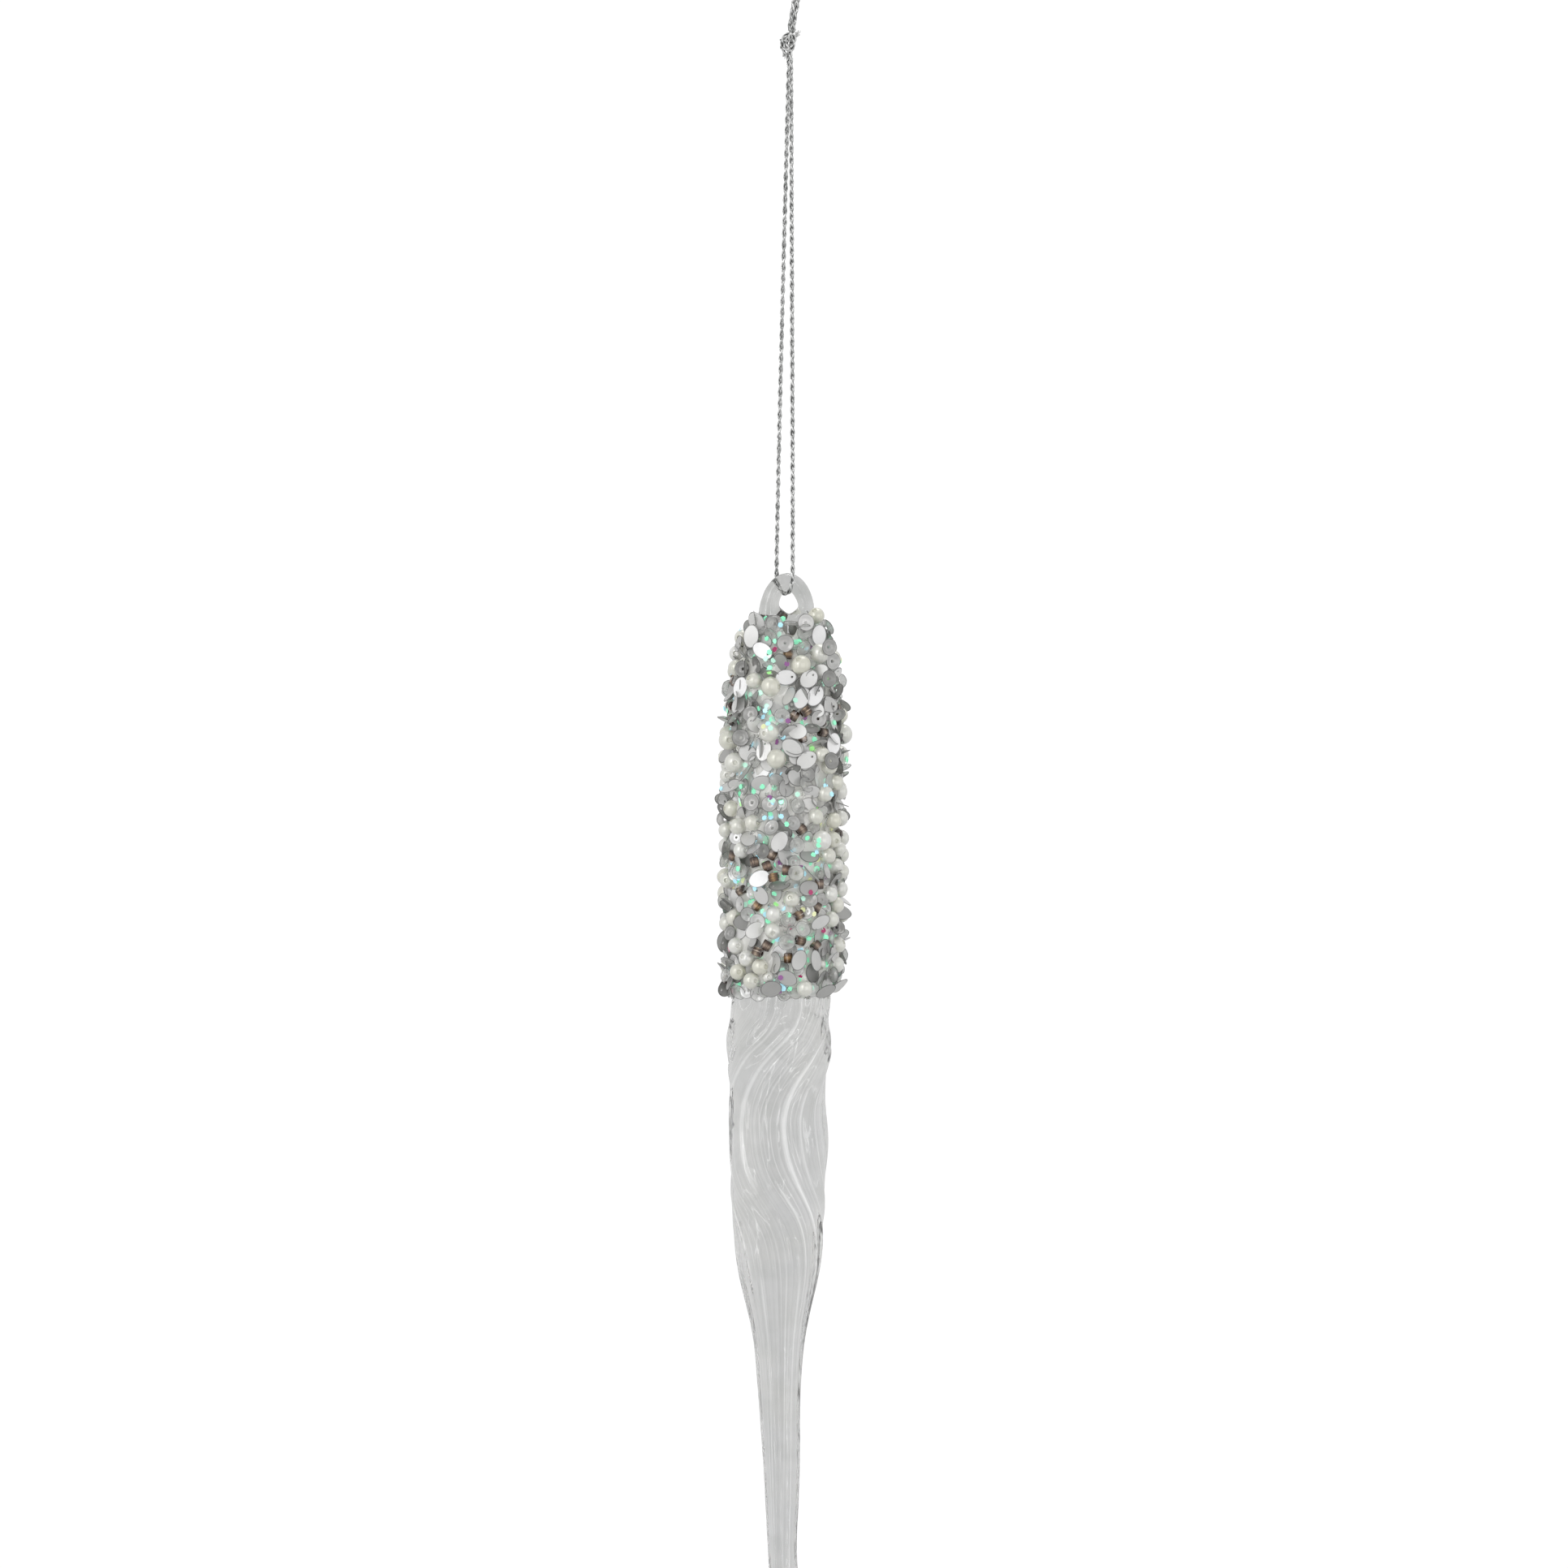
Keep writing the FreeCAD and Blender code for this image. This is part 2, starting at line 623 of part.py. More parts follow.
def clears_the_core(point, radius):
    """True where a ball stays outside the clear core, which widens downwards under the eye."""
    for part in (0.0, 0.5, 0.85):
        depth = part * radius - point.z
        core_radius, middle_x = station_values(CORE_STATIONS, depth)
        width = radius * math.sqrt(1 - part**2)
        if math.hypot(point.x - middle_x, point.y) < core_radius + width + CORE_CLEARANCE:
            return False
    return True


def lies_well(balls):
    """True where a bead clears the core, the eye, its hole and the notch under it, and isn't too far out."""
    for point, radius in balls:
        depth = -point.z
        glue_radius, middle_x = station_values(GLUE_STATIONS, depth)
        if depth > SCATTER_BOTTOM + BOTTOM_OVERHANG or not clears_the_core(point, radius):
            return False
        if math.hypot(point.x - middle_x, point.y) + radius > glue_radius + TALLEST:
            return False
        if any(math.hypot(point.x - leg_x, point.y) < EYE_KEEP + radius for leg_x in EYE_LEGS):
            return False
        if depth < EYE_HOLE_BOTTOM and abs(point.x - size("eye_x")) < ring + radius:
            return False
        if depth - radius < NOTCH_BOTTOM and abs(point.x - NOTCH_X) < NOTCH_HALF_WIDTH + radius:
            return False
    return True


def on_the_glue(kind, outward, depth, lie, bite):
    """The placement in which a bead's lowest point is a little way into the glue."""
    half_height = max(radius - lie.multVec(point).dot(outward) for point, radius in kind["balls"])
    glue_radius, middle_x = station_values(GLUE_STATIONS, depth)
    reach = glue_radius - bite + half_height
    return Placement(Vector(middle_x, 0, -depth) + outward * reach, lie)


def balls_of(kind, placement):
    return [(placement.multVec(point), radius) for point, radius in kind["balls"]]


def lay_by_hand(crowd, kind, across, depth, tilt, towards=0, spin=0):
    """The lowest seat that is free for a bead at a chosen place in front, or None."""
    glue_radius, middle_x = station_values(GLUE_STATIONS, depth)
    share = (across - middle_x) / (glue_radius + FRONT_SEAT)
    turn = math.degrees(math.asin(max(-1.0, min(1.0, share))))
    outward = Rotation(Vector(0, 0, 1), turn).multVec(Vector(0, -1, 0))
    face_out = Rotation(Vector(0, 0, 1), turn) * Rotation(Vector(1, 0, 0), 90)
    lean = Rotation(Vector(0, 0, 1), towards) * Rotation(Vector(0, 1, 0), tilt)
    lie = face_out * lean * Rotation(Vector(0, 0, 1), spin - towards)
    for bite in FRONT_BITES:
        for nudge in FRONT_NUDGES:
            placement = on_the_glue(kind, outward, depth + nudge, lie, bite)
            balls = balls_of(kind, placement)
            if lies_well(balls) and not crowd.touches(balls):
                return placement, balls
    return None


def try_place(chance, kind):
    """A random lie for one bead, anywhere on the glue."""
    depth = chance.uniform(SCATTER_TOP, SCATTER_BOTTOM)
    outward = Rotation(Vector(0, 0, 1), chance.uniform(0, 360)).multVec(Vector(1, 0, 0))
    spin = Rotation(Vector(0, 0, 1), chance.uniform(0, 360))
    tilt = Rotation(Vector(1, 0, 0), chance.uniform(*kind["tilt"]))
    heading = Rotation(Vector(0, 0, 1), chance.uniform(0, 360))
    lie = Rotation(Vector(0, 0, 1), outward) * heading * tilt * spin
    return on_the_glue(kind, outward, depth, lie, chance.uniform(*kind["bite"]))


def scatter(kinds):
    """Lay the front beads by hand, then scatter every kind in turn, and sort the placements into bands."""
    chance = random.Random(SCATTER_SEED)
    crowd = Crowd()
    placed = {name: [] for name in kinds}
    for name, lies in FRONT_BEADS.items():
        for lie in lies:
            seat = lay_by_hand(crowd, kinds[name], *lie)
            if seat:
                placed[name].append(seat[0])
                crowd.add(seat[1])
    for name, kind in kinds.items():
        by_hand = len(placed[name])
        tries = 0
        while len(placed[name]) < kind["count"] and tries < MOST_TRIES * kind["count"]:
            tries += 1
            placement = try_place(chance, kind)
            balls = balls_of(kind, placement)
            too_far_front = -placement.Base.y > kind.get("furthest_front", math.inf)
            if not too_far_front and lies_well(balls) and not crowd.touches(balls):
                placed[name].append(placement)
                crowd.add(balls)
        print(f"{name}: {by_hand} by hand, {len(placed[name])} in all, {tries} tries")
    bands = {}
    for name, placements in placed.items():
        for placement in placements:
            band = sum(-placement.Base.z >= edge for edge in BAND_EDGES)
            bands.setdefault((name, band), []).append(placement)
    return bands


kinds = bead_kinds()
doc.recompute()
bands = scatter(kinds)
bead_nodes = {}
for (kind_name, band), placements in sorted(bands.items()):
    pattern = kinds[kind_name]["shape"].Shape
    copies = []
    for placement in placements:
        copy = pattern.copy()
        copy.Placement = placement.multiply(copy.Placement)
        copies.append(copy)
    family = "pearls" if kind_name == "large_pearls" else kind_name
    bead_nodes.setdefault(f"{family}_row_{band}", []).extend(copies)
for name, copies in bead_nodes.items():
    feature(name, Part.makeCompound(copies))
doc.recompute()

# ---------------------------------------------------------------- checks and files

NODES = [
    "hanging_loop",
    "loop_neck",
    "cord_knot",
    "cut_end_upper",
    "cut_end_lower",
    "hanging_cord",
    "icicle",
    "glue_coat",
    *bead_nodes,
]

for thing in doc.Objects:
    if "Invalid" in thing.State or "Error" in thing.State:
        raise RuntimeError(f"{thing.Label} failed: {thing.State}")

os.makedirs("parts", exist_ok=True)
for node in NODES:
    shape = doc.getObjectsByLabel(node)[0].Shape
    if shape.isNull() or not shape.isValid():
        raise RuntimeError(f"{node} has no valid shape")
    shape.exportStep(f"parts/{node}.step")
    print(f"{node}: {len(shape.Solids)} solids, {shape.Volume:.1f} mm3")
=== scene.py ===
import json
import random
from math import asin, cos, pi, radians, sin

import bmesh
import bpy
import numpy as np
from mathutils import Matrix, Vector
from mathutils.bvhtree import BVHTree
from numpy.linalg import norm

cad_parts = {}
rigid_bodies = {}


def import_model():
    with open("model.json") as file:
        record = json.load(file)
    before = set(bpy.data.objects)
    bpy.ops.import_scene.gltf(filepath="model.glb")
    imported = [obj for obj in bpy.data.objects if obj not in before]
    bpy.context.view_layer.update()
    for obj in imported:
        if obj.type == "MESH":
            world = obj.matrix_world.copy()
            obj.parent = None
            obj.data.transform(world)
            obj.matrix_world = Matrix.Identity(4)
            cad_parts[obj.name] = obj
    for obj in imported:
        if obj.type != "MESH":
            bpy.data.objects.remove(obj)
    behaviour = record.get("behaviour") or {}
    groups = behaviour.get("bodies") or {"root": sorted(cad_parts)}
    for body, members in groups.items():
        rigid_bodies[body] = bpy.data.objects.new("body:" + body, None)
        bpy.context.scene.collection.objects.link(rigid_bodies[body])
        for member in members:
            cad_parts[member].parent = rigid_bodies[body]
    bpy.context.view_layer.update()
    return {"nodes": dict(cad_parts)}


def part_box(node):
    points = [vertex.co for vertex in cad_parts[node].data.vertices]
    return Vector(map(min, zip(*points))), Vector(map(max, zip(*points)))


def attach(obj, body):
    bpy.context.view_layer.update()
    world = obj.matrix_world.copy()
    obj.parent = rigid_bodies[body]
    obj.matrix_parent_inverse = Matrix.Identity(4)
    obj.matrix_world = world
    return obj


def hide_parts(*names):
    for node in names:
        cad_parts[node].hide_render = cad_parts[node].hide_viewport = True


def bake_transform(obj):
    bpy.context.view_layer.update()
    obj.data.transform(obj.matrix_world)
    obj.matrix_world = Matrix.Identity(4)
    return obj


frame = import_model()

# An icicle hanging ornament: a clear moulded icicle whose upper third is glued full of pearls, sequins, cut
# beads and glitter, hanging by its eye on a plaited silver cord with a knot and a loop.
# Lengths are in millimetres, except those of the camera and the lamps, which are in metres.

MM = 0.001
SHARP_ANGLE = 38.0
FAR_OUT = 50.0
SCENE = bpy.context.scene


# ---- camera

def make_camera():
    """A long lens, level with the middle of the icicle, looking straight at its face."""
    data = bpy.data.cameras.new("camera")
    data.sensor_width = 36.0
    data.lens = 248.5
    camera = bpy.data.objects.new("camera", data)
    camera.location = (-0.00285, -2.0, -0.1588)
    camera.rotation_euler = (radians(90), 0, 0)
    SCENE.collection.objects.link(camera)
    SCENE.camera = camera


# ---- mesh helpers

def object_from(name, points, faces, material, smooth=True):
    """A mesh object from points in millimetres."""
    mesh = bpy.data.meshes.new(name)
    mesh.from_pydata((np.asarray(points, float) * MM).tolist(), [], [list(map(int, f)) for f in faces])
    mesh.update()
    if smooth:
        mesh.polygons.foreach_set("use_smooth", [True] * len(mesh.polygons))
        mesh.set_sharp_from_angle(angle=radians(SHARP_ANGLE))
    mesh.materials.append(material)
    thing = bpy.data.objects.new(name, mesh)
    SCENE.collection.objects.link(thing)
    return thing


def point_attribute(mesh, name, kind, values):
    """Writes one value for each point of a mesh, for its material to read."""
    field = {"FLOAT": "value", "FLOAT_VECTOR": "vector", "FLOAT_COLOR": "color"}[kind]
    attribute = mesh.attributes.new(name, kind, "POINT")
    attribute.data.foreach_set(field, np.asarray(values, np.float32).ravel())


def whole_turn(count):
    """Evenly spaced angles round a circle, in radians."""
    return np.linspace(0, 2 * pi, count, endpoint=False)


def ring_of(middle, radii, angles, depth):
    """A level ring of points about a middle on X."""
    level = np.broadcast_to(-depth, len(angles))
    return np.stack([middle + radii * np.cos(angles), radii * np.sin(angles), level], 1)


def ring_faces(rows, columns):
    """Quads of a grid of points whose columns close into rings."""
    r, c = np.meshgrid(np.arange(rows - 1), np.arange(columns), indexing="ij")
    n = (c + 1) % columns
    quads = np.stack([r * columns + c, r * columns + n, (r + 1) * columns + n, (r + 1) * columns + c], -1)
    return quads.reshape(-1, 4).tolist()


def capped_rings(rows):
    """Rings of points joined into a surface whose two ends are closed."""
    columns = len(rows[0])
    last = columns * (len(rows) - 1)
    ends = [list(range(columns))[::-1], [last + k for k in range(columns)]]
    return np.concatenate(rows), ring_faces(len(rows), columns) + ends


def closed_rings(rows):
    """Rings of points joined into a surface, the last ring to the first."""
    columns = len(rows[0])
    count = columns * len(rows)
    faces = [[i % count for i in f] for f in ring_faces(len(rows) + 1, columns)]
    return np.concatenate(rows), faces


def joined(parts):
    """The points and faces of several shapes as one."""
    faces, count = [], 0
    for points, sides in parts:
        faces += [[count + i for i in f] for f in sides]
        count += len(points)
    return np.concatenate([points for points, _ in parts]), faces


def tree_of(*meshes):
    """The surface of some meshes, for rays to meet."""
    corners, sides = [], []
    for mesh in meshes:
        sides += [[len(corners) + i for i in p.vertices] for p in mesh.polygons]
        corners += [v.co.copy() for v in mesh.vertices]
    return BVHTree.FromPolygons(corners, sides)


def cad_tree(node):
    return tree_of(frame["nodes"][node].data)


def smoothstep(low, high, value):
    t = np.clip((value - low) / (high - low), 0, 1)
    return t * t * (3 - 2 * t)


# ---- cords

STRAND_RADIUS = 0.165
STRAND_OFFSET = 0.245
STRAND_LIFT = 0.05
PLAIT_PERIOD = 2.1
FRAY_SPREAD = 0.55
FILAMENTS = 9
FILAMENT_RADIUS = 0.035

# The loop, down both sides of the neck and into the knot.
LOOP_ROUTE = [
    (-1.2, 0.3, -19.6), (-0.75, 0.2, -16.6), (-0.1, 0.1, -13.2), (0.52, 0, -10.2), (0.62, 0, -8),
    (1.75, 0.05, -5), (2.2, 0.05, -2.6), (2.2, 0, -0.9), (0.9, 0, 0.375), (-0.9, 0, 0.375), (-2.2, 0, -0.9),
    (-2.2, 0.05, -2.9), (-1.5, 0.05, -5.4), (-0.42, 0, -8.1), (-0.34, 0, -10.2), (-0.85, -0.1, -13.2),
    (-1.45, -0.2, -16.6), (-1.85, -0.3, -19.6),
]
# From the knot down the front, through the icicle's eye, and up the back.
STRANDS_ROUTE = [
    (-1.55, -0.45, -24.75), (-1.15, -2.2, -118.4), (-1.4, -2.35, -122.6), (-2.15, -1.15, -123.6),
    (-3.1, 1.15, -123.6), (-3.95, 2.35, -122.6), (-4.45, 2.2, -118.4), (-1.95, 0.45, -24.75),
]
# The knot: the doubled cord turns twice round itself, and one bight lies across its face.
KNOT_TURNS = [
    (-1.55, 0.1, -19.3), (-1.5, 0.5, -20.4), (-2.3, 1, -20.9), (-3.3, 0.35, -21.2), (-3.2, -0.7, -21.6),
    (-2.1, -1.15, -21.5), (-1, -0.65, -21), (-0.85, 0.35, -21.2), (-1.9, 1, -22), (-3.2, 0.5, -22.5),
    (-3.1, -0.6, -22.9), (-2, -1.05, -22.7), (-1.05, -0.4, -22.4), (-1.3, 0.55, -22.9), (-2.1, 0.7, -23.6),
    (-2, 0.45, -25.2),
]
KNOT_FACE = [
    (-1, 0.2, -19.3), (-1.5, -0.3, -20.2), (-2.6, -0.9, -20.5), (-3.3, -0.9, -21.6), (-2.8, -1.1, -23),
    (-1.7, -1.25, -23.3), (-1, -1.2, -22.2), (-1, -1.15, -20.9), (-1.75, -1.2, -20.3), (-2.3, -1.35, -21.6),
    (-1.9, -1.15, -23.2), (-1.6, -0.6, -24), (-1.55, -0.45, -25.2),
]
KNOT_CORE = [(-1.8, 0.0, -20.0), (-2.2, 0.1, -21.4), (-2.2, 0.0, -22.6), (-1.9, 0.0, -23.8)]
CUT_ENDS = {
    "cut_end_upper": [(-1.7, 0.3, -21.3), (-1.1, 0.55, -20.95), (-0.6, 0.8, -20.45), (-0.3, 0.95, -20.05)],
    "cut_end_lower": [(-2.9, -0.5, -22.4), (-3.0, -0.45, -23.1), (-2.75, -0.4, -23.8), (-2.6, -0.42, -24.3)],
}


def spline_line(route):
    """The smooth line of a route's NURBS spline, in millimetres."""
    curve = bpy.data.curves.new("route", "CURVE")
    curve.dimensions = "3D"
    curve.resolution_u = 24
    spline = curve.splines.new("NURBS")
    spline.points.add(len(route) - 1)
    for point, place in zip(spline.points, route):
        point.co = (*place, 1.0)
    spline.order_u = 3
    spline.use_endpoint_u = True
    holder = bpy.data.objects.new("route", curve)
    mesh = bpy.data.meshes.new_from_object(holder)
    line = np.array([v.co for v in mesh.vertices])
    bpy.data.objects.remove(holder)
    return line


def evenly(line, step):
    """Points about a step apart on a line, and how far along each is."""
    lengths = np.concatenate([[0], np.cumsum(norm(np.diff(line, axis=0), axis=1))])
    along = np.linspace(0, lengths[-1], max(4, int(lengths[-1] / step) + 1))
    return np.stack([np.interp(along, lengths, line[:, k]) for k in range(3)], axis=1), along


def unit(vectors):
    return vectors / norm(vectors, axis=-1, keepdims=True)


def carried_frames(points):
    """Two directions square to a line at each point, carried along it without twist."""
    tangents = unit(np.gradient(points, axis=0))
    side = unit(np.cross(tangents[0], (0.31, 0.95, 0.05)))
    sides = []
    for tangent in tangents:
        side = side - tangent * (side @ tangent)
        side = side / norm(side)
        sides.append(side)
    sides = np.array(sides)
    return sides, np.cross(tangents, sides)


def tube(points, radii, sides=7):
    """A round tube along a line: its points and faces."""
    a, b = carried_frames(points)
    turn = whole_turn(sides)
    radii = np.broadcast_to(radii, len(points))[:, None, None]
    ring = a[:, None] * np.cos(turn)[None, :, None] + b[:, None] * np.sin(turn)[None, :, None]
    return capped_rings(points[:, None] + ring * radii)


def plait_strands(line, step=0.2):
    """The lines of a round plait's four strands: two wind each way, and cross over and under in turn."""
    points, along = evenly(line, step)
    a, b = carried_frames(points)
    phase = pi * along / PLAIT_PERIOD
    strands = []
    for way in (1, -1):
        over = way * np.cos(2 * phase)
        offset = (STRAND_OFFSET + STRAND_LIFT * over)[:, None]
        for start in (0, pi):
            angle = way * phase + start
            out = a * np.cos(angle)[:, None] + b * np.sin(angle)[:, None]
            strands.append((points + out * offset, over))
    return strands, along


def plait(name, lines, material, step=0.2, tail=0.0):
    """Plaited cords as one mesh. With a tail, the last stretch frays into its strands."""
    tubes, shades = [], []
    for line in lines:
        strands, along = plait_strands(line, step)
        fade = smoothstep(along[-1] - tail, along[-1], along) if tail else np.zeros(len(along))
        centre = evenly(line, step)[0]
        for strand, over in strands:
            opened = centre + (strand - centre) * (1 + FRAY_SPREAD * fade)[:, None]
            body, faces = tube(opened, STRAND_RADIUS * (1 - 0.35 * fade))
            tubes.append((body, faces))
            around = len(body) // len(along)
            reach = norm(body - np.repeat(centre, around, axis=0), axis=1)
            outer_share = (reach - STRAND_OFFSET) / STRAND_RADIUS
            # painted shade for the material: lighter where the strand passes over and on its outer side,
            # darker where it passes under
            shades.append(0.5 + 0.3 * np.repeat(over, around) + 0.3 * outer_share)
    thing = object_from(name, *joined(tubes), material)
    point_attribute(thing.data, "shade", "FLOAT", np.clip(np.concatenate(shades), 0, 1))
    return thing


def frayed_tip(route, material, name, seed):
    """A few loose filaments at a cut end."""
    draw = random.Random(seed)
    end, before = np.array(route[-1]), np.array(route[-2])
    out = unit(end - before)
    tubes = []
    for _ in range(FILAMENTS):
        spread = np.array([draw.uniform(-0.5, 0.5) for _ in range(3)])
        start = end - out * 0.35 + spread * 0.25
        tip = end + out * draw.uniform(0.25, 0.55) + spread * 0.75
        middle = (start + tip) / 2 + out * 0.1
        tubes.append(tube(evenly(spline_line([start, middle, tip]), 0.12)[0], FILAMENT_RADIUS, sides=5))
    thing = object_from(name, *joined(tubes), material)
    point_attribute(thing.data, "shade", "FLOAT", np.full(len(thing.data.vertices), 0.7))
    return thing


def length_of(line):
    return float(norm(np.diff(line, axis=0), axis=1).sum())


def make_cords(material):
    loop_line = spline_line(LOOP_ROUTE)
    loop = plait("loop_cord", [loop_line], material)
    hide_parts("hanging_loop", "loop_neck")
    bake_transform(loop)

    knot_lines = [spline_line(route) for route in (KNOT_TURNS, KNOT_FACE, KNOT_CORE)]
    knot = plait("knot_cord", knot_lines, material, step=0.15)
    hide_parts("cord_knot")
    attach(knot, "knot")

    ends = []
    for number, (node, route) in enumerate(CUT_ENDS.items()):
        end = plait(node + "_cord", [spline_line(route)], material, step=0.12, tail=0.7)
        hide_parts(node)
        tip = frayed_tip(route, material, node + "_fray", number)
        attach(end, "knot")
        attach(tip, "knot")
        ends += [end, tip]

    strands_line = spline_line(STRANDS_ROUTE)
    strands = plait("strands_cord", [strands_line], material)
    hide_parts("hanging_cord")
    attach(strands, "strands")

    length_of(loop_line) * MM


# ---- material helpers

class Nodes:
    """Short names for the nodes of a material, or of the world."""

    def __init__(self, name, world=False):
        self.owner = (bpy.data.worlds if world else bpy.data.materials).new(name)
        self.owner.use_nodes = True
        self.tree = self.owner.node_tree
        self.shader = self.tree.nodes["Background" if world else "Principled BSDF"]

    def give(self, socket, value):
        """Links a node's output to a socket, or sets the socket to a plain value."""
        if isinstance(value, bpy.types.NodeSocket):
            self.tree.links.new(value, socket)
        else:
            socket.default_value = value

    def node(self, kind, *values, **settings):
        """A new node: values fill its sockets in order, and capitalised settings by name."""
        made = self.tree.nodes.new("ShaderNode" + kind)
        for key, value in settings.items():
            if key[0].islower():
                setattr(made, key, value)
            else:
                self.give(made.inputs[key.replace("_", " ")], value)
        for socket, value in zip(made.inputs, values):
            self.give(socket, value)
        return made

    def put(self, **values):
        """Sets or links the shader's own sockets, with _ for a space."""
        for key, value in values.items():
            self.give(self.shader.inputs[key.replace("_", " ")], value)

    def stored(self, attribute, output="Fac"):
        """What the mesh stores for each of its points under a name."""
        return self.node("Attribute", attribute_name=attribute).outputs[output]

    def place(self, attribute=None):
        return self.stored(attribute, "Vector") if attribute else self.node("TexCoord").outputs["Object"]

    def stretched(self, vector, scale):
        return self.node("Mapping", Vector=vector, Scale=scale).outputs["Vector"]

    def noise(self, vector, scale, detail=3.0, roughness=0.5):
        made = self.node("TexNoise", Vector=vector, Scale=scale, Detail=detail, Roughness=roughness)
        return made.outputs["Fac"]

    def ramp(self, value, *stops):
        """Colours or plain greys, each with its place between 0 and 1."""
        made = self.node("ValToRGB", Fac=value)
        elements = made.color_ramp.elements
        while len(elements) < len(stops):
            elements.new(0.5)
        for element, (place, colour) in zip(elements, stops):
            element.position = place
            element.color = (*colour, 1.0) if isinstance(colour, tuple) else (colour, colour, colour, 1.0)
        return made.outputs["Color"]

    def span(self, value, low, high, from_low=0.0, from_high=1.0):
        ends = {"From_Min": from_low, "From_Max": from_high, "To_Min": low, "To_Max": high}
        return self.node("MapRange", Value=value, **ends).outputs["Result"]

    def times(self, a, b, share=1.0):
        """One colour multiplied by another, in full or by a share."""
        made = self.node("Mix", data_type="RGBA", blend_type="MULTIPLY", Factor=share, A=a, B=b)
        return made.outputs["Result"]

    def math(self, operation, *values):
        return self.node("Math", *values, operation=operation).outputs["Value"]

    def bump(self, height, strength, distance):
        """Raises the surface by a height times a distance in millimetres."""
        made = self.node("Bump", Height=height, Strength=strength, Distance=distance * MM)
        self.put(Normal=made.outputs["Normal"])


# ---- materials

def cord_material():
    """Grey and silver yarn: each strand is spun of fine bright filaments with dark gaps between them, painted
    shade in the gaps; strands are painted darker where they pass under the others.
    """
    m = Nodes("silver_plaited_cord")
    wave = m.node("TexWave", m.place(), 900.0, 2.0, 2.0, wave_type="BANDS", bands_direction="DIAGONAL")
    spun = wave.outputs["Fac"]
    blotch = m.noise(m.place(), 700.0, 2.0)
    tones = m.ramp(blotch, (0.3, (0.42, 0.43, 0.42)), (0.48, (0.8, 0.81, 0.8)), (0.66, (0.99, 0.99, 0.98)))
    # painted shade: the colour is darkened in the gaps between the spun filaments
    lines = m.ramp(spun, (0.1, 0.6), (0.6, 1.0))
    # painted shade: strands darker where they pass under the others and on their inner side, read from the
    # shade attribute
    depth = m.ramp(m.stored("shade"), (0.15, 0.16), (0.5, 0.5), (0.85, 1.0))
    m.put(Metallic=0.6, Coat_Weight=0.2, Roughness=m.span(blotch, 0.5, 0.25))
    m.put(Base_Color=m.times(m.times(tones, lines, 0.6), depth))
    m.bump(spun, 0.5, 0.04)
    return m.owner


def clear_material():
    """Clear moulded plastic, a little cloudy: white painted highlight lines glow down its length along the
    flow and the fold crests, beside darker painted shade streaks in its tint.
    """
    m = Nodes("clear_plastic")
    flow, body = m.place("flow"), m.stored("body")
    grains = ((3.2, 0.22), (11.0, 0.3), (27.0, 0.35))
    broad, lines, fine = (m.noise(m.stretched(flow, (w, w, h)), 1.0, 2.0) for w, h in grains)
    warm = m.ramp(m.noise(m.place(), 90.0), (0.35, (0.935, 0.94, 0.945)), (0.65, (0.97, 0.97, 0.95)))
    # painted shade: broad darker streaks in the tint along the flow
    veil = m.ramp(broad, (0.34, 0.94), (0.5, 0.975), (0.62, 1.0))
    # painted shade: fine darker lines in the tint, beside the highlight lines
    painted_shade_lines = m.ramp(fine, (0.36, 0.92), (0.48, 0.985), (0.6, 1.0))
    streaked = m.times(m.times(warm, veil), painted_shade_lines, body)
    smudge = m.ramp(m.noise(m.place(), 230.0, 2.0), (0.36, (0.8, 0.81, 0.8)), (0.62, 0.98))
    # painted highlight along the crests of the folds
    crest = m.span(m.math("ADD", m.stored("crest"), m.math("MULTIPLY", lines, 0.3)), 0.0, 0.2, 0.68, 1.15)
    threads = m.math("ADD", m.span(lines, 0.0, 0.08, 0.6, 0.72), m.span(fine, 0.0, 0.14, 0.6, 0.72))
    # painted highlight: white lines along the fold crests and the flow, full in front and weak behind
    painted_highlight = m.math("MULTIPLY", m.math("ADD", threads, crest), body)
    m.put(Transmission_Weight=1.0, IOR=1.17, Coat_Weight=0.9, Coat_IOR=1.5, Coat_Roughness=0.1)
    m.put(Base_Color=m.times(streaked, smudge, m.math("SUBTRACT", 1.0, body)))
    m.put(Roughness=m.span(broad, 0.02, 0.1, 0.3, 0.7))
    # the painted highlight lines glow white, though the plastic is no lamp
    m.put(Emission_Color=(1.0, 1.0, 1.0, 1.0), Emission_Strength=painted_highlight)
    m.bump(m.math("MULTIPLY", broad, body), 0.2, 0.8)
    return m.owner


def glue_material():
    """Cloudy hot glue that holds the beads, with a faint painted glow that lifts it out of the shade between
    them.
    """
    m = Nodes("clear_glue")
    cloud = m.noise(m.place(), 320.0, 4.0, 0.6)
    m.put(Transmission_Weight=0.3, IOR=1.4, Coat_Weight=0.8, Coat_Roughness=0.06)
    m.put(Base_Color=m.ramp(cloud, (0.3, (0.83, 0.83, 0.8)), (0.7, (0.98, 0.975, 0.945))))
    # painted light: a faint glow, though the glue is no lamp
    m.put(Emission_Color=(0.81, 0.8, 0.765, 1.0), Emission_Strength=0.1, Roughness=m.span(cloud, 0.12, 0.35))
    m.bump(m.noise(m.place(), 700.0), 0.6, 0.25)
    return m.owner


